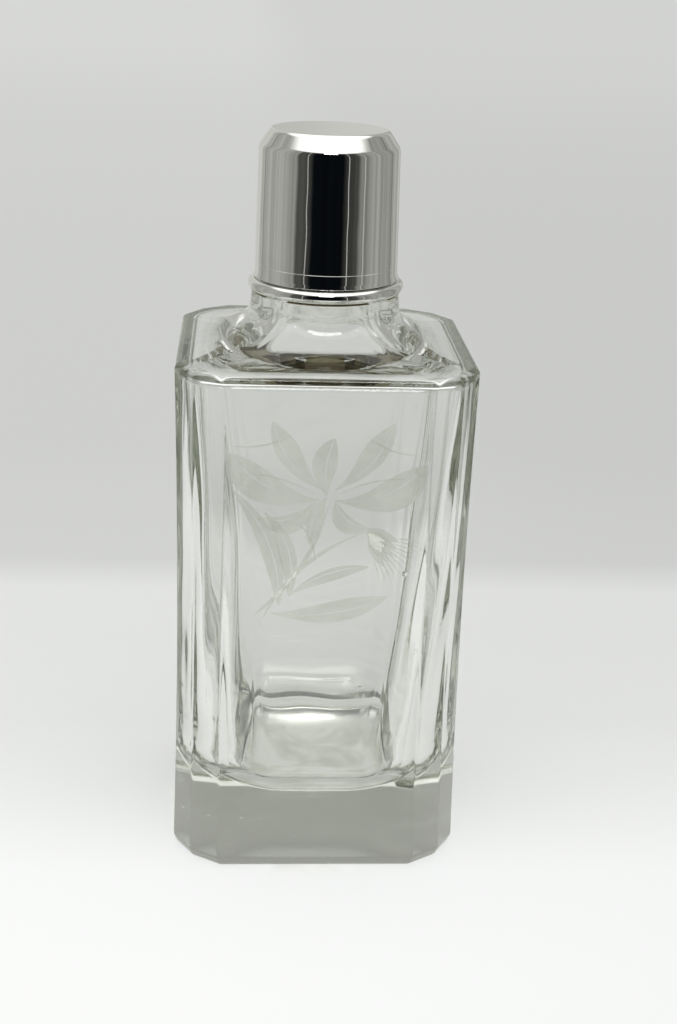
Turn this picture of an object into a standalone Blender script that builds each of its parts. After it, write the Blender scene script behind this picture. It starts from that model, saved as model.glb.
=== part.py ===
"""Square glass decanter with a silver neck mount, a stopper and a jigger cap.

Metres, +Z up, standing on the origin. The front face looks along -Y.
The bottle is a lofted blank with a lofted core taken out of it. The silver and cork are turned.
"""

import math

import bpy
from mathutils import Vector

MM = 0.001

# Seats and tools
SEAT_GAP = 0.3 * MM
CUT_OVERRUN = 4.0 * MM
MERGE_DISTANCE = 0.01 * MM
TURN_STEPS = 48
SMALL_TURN_STEPS = 28
SHARP_ANGLE = math.radians(24)

# Bottle, outer form
BASE_WIDTH = 95.0 * MM
TOP_WIDTH = 93.6 * MM
WAIST_DRAW = 0.9 * MM
CORNER_CUT = 14.7 * MM
CORNER_RIDGE_INSET = 5.7 * MM
FOOT_RISE = 4.0 * MM
FOOT_INSET = 2.2 * MM
FOOT_BEND_HEIGHT_SHARE = 0.3
FOOT_BEND_INSET_SHARE = 0.4
SHOULDER_HEIGHT = 169.4 * MM
SHOULDER_EDGE_RADIUS = 2.0 * MM
NECK_SWEEP_RISE = 12.1 * MM
NECK_STRAIGHT = 4.3 * MM
NECK_TAPER = 0.4 * MM
FLUTE_DEPTH = 0.9 * MM
FLUTE_EDGE_ANGLE = math.radians(32)
NECK_SQUARENESS = 1.6

# Bottle, mouth under the silver
BORE_RADIUS = 14.0 * MM
MOUTH_WALL = 4.7 * MM
MOUTH_HEIGHT = 20.2 * MM
LIP_ROUNDING = 1.2 * MM

# Bottle, inner form
FLOOR_HEIGHT = 18.0 * MM
BOWL_DEPTH = 20.0 * MM
BOWL_POWER = 2.6
WALL_AT_FLOOR = 10.0 * MM
WALL_AT_SHOULDER = 4.0 * MM
INNER_CORNER_AT_FLOOR = 24.0 * MM
INNER_CORNER_AT_SHOULDER = 14.0 * MM
CEILING_THICKNESS = 3.0 * MM
CEILING_CORNER = 2.0 * MM
CEILING_SLOPE = 0.6 * MM
INNER_FLARE = 12.0 * MM
INNER_FLARE_RISE = 12.0 * MM
INNER_FLARE_POWER = 0.8

# Silver mount on the neck
CEMENT_WALL = 0.6 * MM
COLLAR_WALL = 0.7 * MM
LIP_OVERHANG = 4.1 * MM
RING_HEIGHT = 4.0 * MM
RING_LEDGE_MARGIN = 0.9 * MM

# Jigger cap
LINING_WALL = 0.45 * MM
LINING_HEIGHT = 12.5 * MM
CAP_HEIGHT = 46.0 * MM
CAP_WALL = 0.8 * MM
CAP_TOP_THICKNESS = 1.1 * MM
CAP_DRAFT = 0.75 * MM
CAP_BEVEL_DROP = 5.4 * MM
CAP_BEVEL_INSET = 3.65 * MM
CAP_EDGE_ROUNDING = 0.9 * MM
CAP_FOOT_FLARE = 0.45 * MM
CAP_FOOT_FLARE_HEIGHT = 1.6 * MM
CAP_LINE_HEIGHT = 4.3 * MM
CAP_LINE_WIDTH = 0.5 * MM
CAP_LINE_DEPTH = 0.15 * MM

# Stopper
CORK_LENGTH = 16.0 * MM
CORK_TAPER = 1.3 * MM
CORK_EDGE = 0.8 * MM
HEAD_RADIUS = 16.0 * MM
HEAD_THICKNESS = 2.0 * MM
HEAD_EDGE_ROUNDING = 0.6 * MM
GRIP_RADIUS = 5.5 * MM
GRIP_WAIST_RADIUS = 3.4 * MM
GRIP_HEIGHT = 4.6 * MM
PIN_RADIUS = 1.5 * MM
PIN_SOCKET_DEPTH = 2.6 * MM
PIN_END = 0.7 * MM
WASHER_RADIUS = 5.2 * MM
WASHER_THICKNESS = 0.8 * MM
NUT_RADIUS = 3.3 * MM
NUT_HEIGHT = 2.2 * MM

# Columns round one eighth of the bottle, from the corner ridge to the middle of a face.
# Facet shares run from the corner ridge to the face's edge, face shares from that edge to the middle.
FLUTE_SHARES = (0.0, 0.06)
FACET_SHARES = (0.12, 0.55)
FACE_SHARES = (1.0, 0.75, 0.5, 0.25, 0.0)
NECK_PANEL_SHARES = (1.0, 0.84, 0.66, 0.5, 0.33, 0.17, 0.0)

# Levels up the walls, round the shoulder's edge, up the neck's sweep and up the bowl of the hollow
WALL_SHARES = (0.0, 0.12, 0.25, 0.38, 0.5, 0.62, 0.75, 0.88, 1.0)
EDGE_TURNS = tuple(math.radians(turn) for turn in (22.5, 45, 67.5, 90))
SWEEP_TURNS = tuple(math.radians(turn) for turn in (78, 66, 54, 42, 30, 15, 0))
BOWL_TURNS = tuple(math.radians(turn) for turn in (80, 68, 56, 44, 32, 20, 9, 0))
CORNER_ARC_STEPS = 5
FACE_STEPS = 6

# Places that follow from the sizes
NECK_SWEEP_TOP = SHOULDER_HEIGHT + NECK_SWEEP_RISE
LEDGE_HEIGHT = NECK_SWEEP_TOP + NECK_STRAIGHT
MOUTH_TOP = LEDGE_HEIGHT + MOUTH_HEIGHT
MOUTH_RADIUS = BORE_RADIUS + MOUTH_WALL
CEMENT_INNER = MOUTH_RADIUS + SEAT_GAP
CEMENT_OUTER = CEMENT_INNER + CEMENT_WALL
COLLAR_INNER = CEMENT_OUTER + SEAT_GAP
COLLAR_OUTER = COLLAR_INNER + COLLAR_WALL
MOUNT_FOOT = LEDGE_HEIGHT + SEAT_GAP
LIP_UNDERSIDE = MOUTH_TOP + SEAT_GAP
LIP_TOP = LIP_UNDERSIDE + COLLAR_WALL
LINING_INNER = COLLAR_OUTER + SEAT_GAP
LINING_OUTER = LINING_INNER + LINING_WALL
CAP_FOOT = MOUNT_FOOT + RING_HEIGHT + SEAT_GAP
CAP_TOP = CAP_FOOT + CAP_HEIGHT
CAP_SHOULDER = CAP_TOP - CAP_BEVEL_DROP
LINING_FOOT = CAP_FOOT + SEAT_GAP
CAP_SLOPE = CAP_DRAFT / (CAP_SHOULDER - CAP_FOOT)
CAP_FOOT_INNER = LINING_OUTER + SEAT_GAP + CAP_SLOPE * (LINING_HEIGHT + SEAT_GAP)
CAP_FOOT_OUTER = CAP_FOOT_INNER + CAP_WALL
CAP_SHOULDER_RADIUS = CAP_FOOT_OUTER - CAP_DRAFT
RING_CENTRE_RADIUS = CAP_FOOT_OUTER
RING_HALF = RING_HEIGHT / 2
RING_INNER = COLLAR_OUTER + SEAT_GAP
NECK_RADIUS = RING_CENTRE_RADIUS + RING_HALF - RING_LEDGE_MARGIN
HEAD_FOOT = LIP_TOP + SEAT_GAP
HEAD_TOP = HEAD_FOOT + HEAD_THICKNESS
GRIP_TOP = HEAD_TOP + GRIP_HEIGHT
CORK_TOP = HEAD_FOOT - SEAT_GAP
CORK_FOOT = CORK_TOP - CORK_LENGTH
CORK_TOP_RADIUS = BORE_RADIUS - SEAT_GAP
CORK_FOOT_RADIUS = CORK_TOP_RADIUS - CORK_TAPER
PIN_HOLE_RADIUS = PIN_RADIUS + SEAT_GAP
PIN_TOP = HEAD_FOOT + PIN_SOCKET_DEPTH - SEAT_GAP
WASHER_TOP = CORK_FOOT - SEAT_GAP
WASHER_FOOT = WASHER_TOP - WASHER_THICKNESS
NUT_TOP = WASHER_FOOT - SEAT_GAP
NUT_FOOT = NUT_TOP - NUT_HEIGHT
PIN_FOOT = NUT_FOOT - PIN_END


def clear_scene():
    """Takes every object out of the open file."""
    for obj in list(bpy.data.objects):
        bpy.data.objects.remove(obj, do_unlink=True)


def make_material(name, colour, roughness, metallic=0.0, transmission=0.0):
    """One Principled material with the part's own colour and gloss."""
    material = bpy.data.materials.new(name)
    material.use_nodes = True
    shader = material.node_tree.nodes["Principled BSDF"]
    shader.inputs["Base Color"].default_value = (*colour, 1.0)
    shader.inputs["Roughness"].default_value = roughness
    shader.inputs["Metallic"].default_value = metallic
    shader.inputs["Transmission Weight"].default_value = transmission
    return material


def add_mesh(name, vertices, faces=(), edges=()):
    """A new mesh object in the scene."""
    mesh = bpy.data.meshes.new(name)
    mesh.from_pydata(vertices, edges, faces)
    mesh.validate()
    obj = bpy.data.objects.new(name, mesh)
    bpy.context.scene.collection.objects.link(obj)
    return obj


def finish(obj, material):
    """Gives a piece its material and round shading with crisp edges."""
    obj.data.materials.append(material)
    obj.data.shade_smooth()
    obj.data.set_sharp_from_angle(angle=SHARP_ANGLE)
    return obj


def hide_cutter(cutter):
    """Keeps a cutting tool out of the finished object."""
    cutter.hide_render = True
    cutter.display_type = "WIRE"


def cut_away(obj, cutter):
    """Takes the cutter's volume out of the piece."""
    hide_cutter(cutter)
    modifier = obj.modifiers.new("cut " + cutter.name, "BOOLEAN")
    modifier.operation = "DIFFERENCE"
    modifier.object = cutter


def loft(name, rings):
    """A closed solid through rings with as many points each, listed from bottom to top, anticlockwise."""
    count = len(rings[0])
    vertices = [point for ring in rings for point in ring]
    faces = [tuple(reversed(range(count)))]
    for level in range(len(rings) - 1):
        low = level * count
        high = low + count
        for column in range(count):
            after = (column + 1) % count
            faces.append((low + column, low + after, high + after, high + column))
    last = (len(rings) - 1) * count
    faces.append(tuple(range(last, last + count)))
    return add_mesh(name, vertices, faces)


def turned(name, outline, material, steps=TURN_STEPS):
    """A turned piece. The outline is (radius, height) points down the outer side and back up inside.

    An outline that starts and ends on the axis stays open there, and any other is closed to a loop.
    """
    count = len(outline)
    on_axis = outline[0][0] == 0 and outline[-1][0] == 0
    edges = [(index, index + 1) for index in range(count - 1)]
    if not on_axis:
        edges.append((count - 1, 0))
    obj = add_mesh(name, [(radius, 0, height) for radius, height in outline], edges=edges)
    screw = obj.modifiers.new("turning", "SCREW")
    screw.axis = "Z"
    screw.steps = steps
    screw.render_steps = steps
    screw.use_merge_vertices = True
    screw.merge_threshold = MERGE_DISTANCE
    screw.use_smooth_shade = True
    obj.data.materials.append(material)
    return obj


def arc(radius, height, size, start, end, steps):
    """Points of an arc about (radius, height), in degrees from outward, anticlockwise positive."""
    points = []
    for step in range(steps + 1):
        turn = math.radians(start + (end - start) * step / steps)
        points.append((radius + size * math.cos(turn), height + size * math.sin(turn)))
    return points


def width_at(share):
    """Half the bottle's width at a share of its height: a straight taper drawn in at the waist."""
    straight = BASE_WIDTH + (TOP_WIDTH - BASE_WIDTH) * share
    bow = 1 - (2 * share - 1) ** 2
    return straight / 2 - WAIST_DRAW * bow


def eighth_plan():
    """Points of the top outline from the corner ridge to the middle of the +X face, as (x, y)."""
    half = TOP_WIDTH / 2
    ridge = Vector((half - CORNER_RIDGE_INSET, half - CORNER_RIDGE_INSET))
    edge = Vector((half, half - CORNER_CUT))
    points = [ridge.lerp(edge, share) for share in FLUTE_SHARES + FACET_SHARES]
    points += [Vector((half, edge.y * share)) for share in FACE_SHARES]
    return points


def eighth_neck_angles():
    """The same columns' directions at the neck, from the corner's diagonal to the face's middle."""
    quarter = math.pi / 4
    middle = (quarter + FLUTE_EDGE_ANGLE) / 2
    return [quarter, middle] + [FLUTE_EDGE_ANGLE * share for share in NECK_PANEL_SHARES]


def all_round(eighth):
    """A whole outline from the points of one eighth, mirrored and turned, anticlockwise from +X."""
    upper = list(reversed(eighth))
    lower = [Vector((point.x, -point.y)) for point in eighth[1:-1]]
    side = lower + upper
    outline = []
    for turn in range(4):
        for point in side:
            x, y = point
            for _ in range(turn):
                x, y = -y, x
            outline.append((x, y))
    return outline


def scaled_plan(half_width):
    """The bottle's outline at a level, with its corner in proportion."""
    scale = half_width / (TOP_WIDTH / 2)
    return all_round([point * scale for point in eighth_plan()])


def neck_section(turn):
    """The outline on the neck's sweep. Turn runs from the upright neck, 0, to the flat shoulder, a quarter.

    Each face is a panel between round and square, and each corner is a hollow flute that narrows to a tip.
    """
    reach = TOP_WIDTH / 2 - SHOULDER_EDGE_RADIUS - NECK_RADIUS
    distance = NECK_RADIUS + reach * (1 - math.cos(turn))
    power = 2 + NECK_SQUARENESS * math.sin(turn)
    spread = math.sin(turn) ** 2
    hollow = FLUTE_DEPTH * math.cos(turn) ** 2
    scale = distance / (TOP_WIDTH / 2)
    points = []
    for index, (plan, angle) in enumerate(zip(eighth_plan(), eighth_neck_angles())):
        ray = Vector((math.cos(angle), math.sin(angle)))
        radius = distance * (ray.x**power + ray.y**power) ** (-1 / power)
        if index < len(FLUTE_SHARES):
            edge_ray = Vector((math.cos(FLUTE_EDGE_ANGLE), math.sin(FLUTE_EDGE_ANGLE)))
            edge_radius = distance * (edge_ray.x**power + edge_ray.y**power) ** (-1 / power)
            chord = edge_radius * math.cos(math.pi / 4 - FLUTE_EDGE_ANGLE)
            radius = chord / math.cos(math.pi / 4 - angle) - hollow * (1 - index / len(FLUTE_SHARES))
        points.append((ray * radius).lerp(plan * scale, spread))
    return all_round(points)


def round_section(radius):
    """A round outline with the neck's columns."""
    rays = [Vector((math.cos(angle), math.sin(angle))) for angle in eighth_neck_angles()]
    return all_round([ray * radius for ray in rays])


def at_height(outline, height):
    """The outline as points in space."""
    return [(x, y, height) for x, y in outline]


def bottle_blank():
    """The bottle's outside as one solid, from its foot to its mouth."""
    wall_top = SHOULDER_HEIGHT - SHOULDER_EDGE_RADIUS
    bend_half = BASE_WIDTH / 2 - FOOT_INSET * FOOT_BEND_INSET_SHARE
    rings = [
        at_height(scaled_plan(BASE_WIDTH / 2 - FOOT_INSET), 0),
        at_height(scaled_plan(bend_half), FOOT_RISE * FOOT_BEND_HEIGHT_SHARE),
    ]
    for share in WALL_SHARES:
        height = FOOT_RISE + (wall_top - FOOT_RISE) * share
        rings.append(at_height(scaled_plan(width_at(share)), height))
    for turn in EDGE_TURNS:
        half = TOP_WIDTH / 2 - SHOULDER_EDGE_RADIUS * (1 - math.cos(turn))
        rings.append(at_height(scaled_plan(half), wall_top + SHOULDER_EDGE_RADIUS * math.sin(turn)))
    for turn in SWEEP_TURNS:
        height = NECK_SWEEP_TOP - NECK_SWEEP_RISE * math.sin(turn)
        rings.append(at_height(neck_section(turn), height))
    drawn_in = 1 - NECK_TAPER / NECK_RADIUS
    rings.append(at_height([(x * drawn_in, y * drawn_in) for x, y in neck_section(0)], LEDGE_HEIGHT))
    rings.append(at_height(round_section(MOUTH_RADIUS), LEDGE_HEIGHT))
    rings.append(at_height(round_section(MOUTH_RADIUS), MOUTH_TOP - LIP_ROUNDING))
    rings.append(at_height(round_section(MOUTH_RADIUS - LIP_ROUNDING), MOUTH_TOP))
    return loft("bottle", rings)


def rounded_square(half, corner):
    """A square outline with round corners, anticlockwise from the middle of the +X side."""
    quarter = []
    straight = half - corner
    for step in range(FACE_STEPS // 2):
        quarter.append((half, straight * step / (FACE_STEPS // 2)))
    quarter += arc(straight, straight, corner, 0, 90, CORNER_ARC_STEPS)
    for step in range(FACE_STEPS // 2 - 1, 0, -1):
        quarter.append((straight * step / (FACE_STEPS // 2), half))
    outline = []
    for turn in range(4):
        for x, y in quarter:
            for _ in range(turn):
                x, y = -y, x
            outline.append((x, y))
    return outline


def inner_section(half, corner, roundness):
    """The hollow's outline: a rounded square drawn towards a circle as the roundness goes from 0 to 1."""
    outline = []
    for x, y in rounded_square(half, corner):
        away = math.hypot(x, y)
        factor = 1 - roundness + roundness * half / away
        outline.append((x * factor, y * factor))
    return outline


def bottle_core():
    """The bottle's hollow and bore as one solid, to be taken out of the blank.

    From below: a bowl, walls that spread to the shoulder, a corner, a flat ceiling and a flare to the bore.
    """
    floor_half = BASE_WIDTH / 2 - WALL_AT_FLOOR
    top_half = TOP_WIDTH / 2 - WALL_AT_SHOULDER
    wall_foot = FLOOR_HEIGHT + BOWL_DEPTH
    ceiling = SHOULDER_HEIGHT - CEILING_THICKNESS
    wall_top = ceiling - CEILING_CORNER
    levels = []
    for turn in BOWL_TURNS:
        share = math.cos(turn) ** (2 / BOWL_POWER)
        height = wall_foot - BOWL_DEPTH * math.sin(turn) ** (2 / BOWL_POWER)
        levels.append((floor_half * share, INNER_CORNER_AT_FLOOR * share, (1 - share) ** 2, height))
    for share in WALL_SHARES[1:]:
        half = floor_half + (top_half - floor_half) * share
        corner = INNER_CORNER_AT_FLOOR + (INNER_CORNER_AT_SHOULDER - INNER_CORNER_AT_FLOOR) * share
        levels.append((half, corner, 0, wall_foot + (wall_top - wall_foot) * share))
    corner_share = INNER_CORNER_AT_SHOULDER / top_half
    for turn in EDGE_TURNS:
        half = top_half - CEILING_CORNER * (1 - math.cos(turn))
        levels.append((half, corner_share * half, 0, wall_top + CEILING_CORNER * math.sin(turn)))
    flare_foot = ceiling + CEILING_SLOPE
    half = BORE_RADIUS + INNER_FLARE
    levels.append((half, corner_share * half, 0, flare_foot))
    for turn in SWEEP_TURNS:
        half = BORE_RADIUS + INNER_FLARE * (1 - math.cos(turn))
        height = flare_foot + INNER_FLARE_RISE * (1 - math.sin(turn))
        levels.append((half, corner_share * half, 1 - math.sin(turn) ** INNER_FLARE_POWER, height))
    levels.append((BORE_RADIUS, corner_share * BORE_RADIUS, 1, MOUTH_TOP + CUT_OVERRUN))
    rings = [at_height(inner_section(half, corner, curve), height) for half, corner, curve, height in levels]
    return loft("bottle_core", rings)


def make_bottle(glass):
    """The glass, hollowed."""
    bottle = bottle_blank()
    cut_away(bottle, bottle_core())
    return finish(bottle, glass)


def make_cement(plaster):
    """The bedding between glass and silver."""
    outline = [
        (CEMENT_OUTER, LIP_UNDERSIDE - SEAT_GAP),
        (CEMENT_OUTER, MOUNT_FOOT),
        (CEMENT_INNER, MOUNT_FOOT),
        (CEMENT_INNER, LIP_UNDERSIDE - SEAT_GAP),
    ]
    return turned("collar_cement", outline, plaster)


def make_collar(silver):
    """The sleeve round the mouth, with its lip turned in over the glass."""
    lip_inner = MOUTH_RADIUS - LIP_OVERHANG
    outline = arc(COLLAR_OUTER - COLLAR_WALL, LIP_TOP - COLLAR_WALL, COLLAR_WALL, 90, 0, 3)
    outline += [
        (COLLAR_OUTER, MOUNT_FOOT),
        (COLLAR_INNER, MOUNT_FOOT),
        (COLLAR_INNER, LIP_UNDERSIDE),
        (lip_inner, LIP_UNDERSIDE),
        (lip_inner, LIP_TOP),
    ]
    return turned("neck_collar", outline, silver)


def make_ring(silver):
    """The half-round wire at the collar's foot, on which the cap stands."""
    middle = MOUNT_FOOT + RING_HALF
    outline = [(RING_INNER, MOUNT_FOOT + RING_HEIGHT)]
    outline += arc(RING_CENTRE_RADIUS, middle, RING_HALF, 90, -90, 10)
    outline += [(RING_INNER, MOUNT_FOOT)]
    return turned("collar_ring", outline, silver)


def cap_outer(height):
    """The cap's outside radius at a height on its wall."""
    return CAP_FOOT_OUTER - CAP_SLOPE * (height - CAP_FOOT)


def make_cap(silver):
    """The cup: flat top, bevelled shoulder, drawn wall with a scribed line, and a slightly flared foot."""
    flat = CAP_SHOULDER_RADIUS - CAP_BEVEL_INSET
    line_middle = CAP_FOOT + CAP_LINE_HEIGHT
    line_half = CAP_LINE_WIDTH / 2
    flare_top = CAP_FOOT + CAP_FOOT_FLARE_HEIGHT
    steep = math.atan2(CAP_BEVEL_DROP, CAP_BEVEL_INSET)
    slope_x = math.cos(steep) * CAP_EDGE_ROUNDING
    slope_z = math.sin(steep) * CAP_EDGE_ROUNDING
    inner_top = CAP_TOP - CAP_TOP_THICKNESS
    inner_shoulder = CAP_SHOULDER - CAP_TOP_THICKNESS / 2
    outline = [
        (0, CAP_TOP),
        (flat - CAP_EDGE_ROUNDING, CAP_TOP),
        (flat + slope_x / 4, CAP_TOP - slope_z / 4),
        (flat + slope_x, CAP_TOP - slope_z),
        (CAP_SHOULDER_RADIUS - slope_x, CAP_SHOULDER + slope_z),
        (CAP_SHOULDER_RADIUS - slope_x / 4, CAP_SHOULDER + slope_z / 4),
        (cap_outer(CAP_SHOULDER - CAP_EDGE_ROUNDING), CAP_SHOULDER - CAP_EDGE_ROUNDING),
        (cap_outer(line_middle + line_half), line_middle + line_half),
        (cap_outer(line_middle) - CAP_LINE_DEPTH, line_middle),
        (cap_outer(line_middle - line_half), line_middle - line_half),
        (cap_outer(flare_top), flare_top),
        (CAP_FOOT_OUTER + CAP_FOOT_FLARE / 2, CAP_FOOT + CAP_FOOT_FLARE_HEIGHT / 2),
        (CAP_FOOT_OUTER + CAP_FOOT_FLARE, CAP_FOOT + CAP_FOOT_FLARE / 2),
        (CAP_FOOT_OUTER, CAP_FOOT),
        (CAP_FOOT_INNER, CAP_FOOT),
        (cap_outer(inner_shoulder) - CAP_WALL, inner_shoulder),
        (flat - CAP_WALL, inner_top),
        (0, inner_top),
    ]
    return turned("jigger_cap", outline, silver)


def make_lining(silver):
    """The friction sleeve soldered inside the cap's mouth."""
    outline = [
        (LINING_OUTER, LINING_FOOT + LINING_HEIGHT),
        (LINING_OUTER, LINING_FOOT),
        (LINING_INNER, LINING_FOOT),
        (LINING_INNER, LINING_FOOT + LINING_HEIGHT),
    ]
    return turned("cap_lining", outline, silver)


def make_cork(cork):
    """The tapered cork, bored for its pin."""
    outline = [
        (CORK_TOP_RADIUS, CORK_TOP),
        (CORK_FOOT_RADIUS, CORK_FOOT + CORK_EDGE),
        (CORK_FOOT_RADIUS - CORK_EDGE, CORK_FOOT),
        (PIN_HOLE_RADIUS, CORK_FOOT),
        (PIN_HOLE_RADIUS, CORK_TOP),
    ]
    return turned("cork", outline, cork, SMALL_TURN_STEPS)


def make_stopper_head(silver):
    """The disc over the mouth with its turned grip, and a blind socket for the pin."""
    rim = HEAD_RADIUS - HEAD_EDGE_ROUNDING
    grip_middle = GRIP_TOP - GRIP_HEIGHT / 3
    outline = [(0, GRIP_TOP), (GRIP_RADIUS / 2, GRIP_TOP)]
    outline += [
        (GRIP_RADIUS, grip_middle + HEAD_EDGE_ROUNDING),
        (GRIP_RADIUS, grip_middle - HEAD_EDGE_ROUNDING),
        (GRIP_WAIST_RADIUS, HEAD_TOP + GRIP_HEIGHT / 4),
        (GRIP_WAIST_RADIUS + HEAD_EDGE_ROUNDING, HEAD_TOP),
    ]
    outline += arc(rim, HEAD_TOP - HEAD_EDGE_ROUNDING, HEAD_EDGE_ROUNDING, 90, 0, 2)
    outline += [
        (HEAD_RADIUS, HEAD_FOOT),
        (PIN_HOLE_RADIUS, HEAD_FOOT),
        (PIN_HOLE_RADIUS, HEAD_FOOT + PIN_SOCKET_DEPTH),
        (0, HEAD_FOOT + PIN_SOCKET_DEPTH),
    ]
    return turned("stopper_head", outline, silver, SMALL_TURN_STEPS)


def make_pin(steel):
    """The rod that holds the cork to its head."""
    outline = [(0, PIN_TOP), (PIN_RADIUS, PIN_TOP), (PIN_RADIUS, PIN_FOOT), (0, PIN_FOOT)]
    return turned("stopper_pin", outline, steel, SMALL_TURN_STEPS // 2)


def make_washer(steel):
    """The washer under the cork."""
    outline = [
        (WASHER_RADIUS, WASHER_TOP),
        (WASHER_RADIUS, WASHER_FOOT),
        (PIN_HOLE_RADIUS, WASHER_FOOT),
        (PIN_HOLE_RADIUS, WASHER_TOP),
    ]
    return turned("stopper_washer", outline, steel, SMALL_TURN_STEPS)


def make_nut(steel):
    """The six-sided nut on the pin's end."""
    outline = [
        (NUT_RADIUS, NUT_TOP),
        (NUT_RADIUS, NUT_FOOT),
        (PIN_HOLE_RADIUS, NUT_FOOT),
        (PIN_HOLE_RADIUS, NUT_TOP),
    ]
    return turned("stopper_nut", outline, steel, 6)


def main():
    """Builds every piece where it stands."""
    clear_scene()
    glass = make_material("clear_glass", (0.96, 0.97, 0.955), 0.02, transmission=1.0)
    silver = make_material("polished_silver", (0.86, 0.85, 0.82), 0.12, metallic=1.0)
    lining_silver = make_material("lining_silver", (0.78, 0.77, 0.73), 0.3, metallic=1.0)
    cork = make_material("cork", (0.55, 0.37, 0.2), 0.85)
    plaster = make_material("plaster", (0.82, 0.8, 0.75), 0.9)
    steel = make_material("plated_steel", (0.6, 0.6, 0.6), 0.3, metallic=1.0)
    make_bottle(glass)
    make_cement(plaster)
    make_collar(silver)
    make_ring(silver)
    make_cap(silver)
    make_lining(lining_silver)
    make_cork(cork)
    make_stopper_head(silver)
    make_pin(steel)
    make_washer(steel)
    make_nut(steel)


main()
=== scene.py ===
"""Looks of a square glass decanter with a silver neck mount, a stopper and a jigger cap.

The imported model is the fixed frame. Each sub-assembly is a class. It works its surfaces out on grids of
points, puts them in the place of the plain solids, and dresses them.
"""

from __future__ import annotations

import logging
import math
from dataclasses import dataclass, field
from enum import Enum

import bpy
import numpy as np
from mathutils import Matrix, Vector


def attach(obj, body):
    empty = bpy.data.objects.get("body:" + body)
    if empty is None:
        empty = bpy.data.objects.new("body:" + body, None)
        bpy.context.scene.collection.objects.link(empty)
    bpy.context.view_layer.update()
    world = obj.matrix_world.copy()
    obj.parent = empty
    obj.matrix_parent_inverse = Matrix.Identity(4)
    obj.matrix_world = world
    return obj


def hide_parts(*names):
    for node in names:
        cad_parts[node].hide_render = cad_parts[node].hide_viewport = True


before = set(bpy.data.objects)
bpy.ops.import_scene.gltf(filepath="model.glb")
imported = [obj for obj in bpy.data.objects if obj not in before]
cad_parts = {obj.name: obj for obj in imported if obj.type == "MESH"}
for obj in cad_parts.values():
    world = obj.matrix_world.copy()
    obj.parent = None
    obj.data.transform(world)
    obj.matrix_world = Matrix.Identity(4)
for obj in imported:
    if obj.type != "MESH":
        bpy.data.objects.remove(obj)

LOG = logging.getLogger("decanter")
MM = 0.001
LIGHT_BOUNCES = 40
Pair = tuple[float, float]
Triple = tuple[float, float, float]
Colour = tuple[float, float, float, float]


class Body(Enum):
    """The bodies that pieces ride on."""

    BOTTLE = "bottle"
    CAP = "cap"
    STOPPER = "stopper"


class Slot(Enum):
    """The record's material slots."""

    GLASS = "clear_glass"
    SILVER = "polished_silver"
    LINING = "lining_silver"
    CORK = "cork"
    PLASTER = "plaster"
    STEEL = "plated_steel"


# Surfaces that every sub-assembly uses.


def place_mesh(mesh: bpy.types.Mesh) -> bpy.types.Object:
    """Makes an object of a mesh.

    Args:
        mesh: the mesh, whose name the object takes.

    Returns:
        The object, linked to the scene.
    """
    obj = bpy.data.objects.new(mesh.name, mesh)
    bpy.context.scene.collection.objects.link(obj)
    return obj


def curve(start: np.ndarray, control: np.ndarray, end: np.ndarray, share: np.ndarray) -> np.ndarray:
    """The quadratic curve: start times (1 - s) squared, control times 2 s (1 - s) and end times s squared."""
    return (1 - share) ** 2 * start + 2 * share * (1 - share) * control + share**2 * end


def grid_mesh(name: str, points: np.ndarray, poles: tuple[bool, bool] = (False, False),
              loop: bool = False) -> bpy.types.Object:
    """Makes a mesh of quads from a grid of points.

    Neighbouring rows and columns are joined, and the last column joins the first. With rows that go up and
    columns that go anticlockwise, the faces look outwards.

    Args:
        name: the object's name.
        points: rows by columns by 3, in metres.
        poles: whether the first and the last row close to one point, their mean.
        loop: whether the last row joins the first.

    Returns:
        The object, linked to the scene.
    """
    rows, columns = points.shape[:2]
    index = np.arange(rows * columns).reshape(rows, columns)
    low = index if loop else index[:-1]
    high = np.roll(index, -1, axis=0) if loop else index[1:]
    quads = np.stack((low, np.roll(low, -1, 1), np.roll(high, -1, 1), high), axis=-1).reshape(-1, 4)
    vertices = points.reshape(-1, 3)
    faces = quads.tolist()
    for wanted, row, order in ((poles[0], 0, (0, 2, 1)), (poles[1], rows - 1, (0, 1, 2))):
        if wanted:
            pole = len(vertices)
            vertices = np.vstack((vertices, points[row].mean(axis=0)))
            fan = np.stack((np.full(columns, pole), index[row], np.roll(index[row], -1)), axis=-1)
            faces += fan[:, order].tolist()
    mesh = bpy.data.meshes.new(name)
    mesh.from_pydata(vertices.tolist(), [], faces)
    mesh.shade_smooth()
    return place_mesh(mesh)


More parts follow.
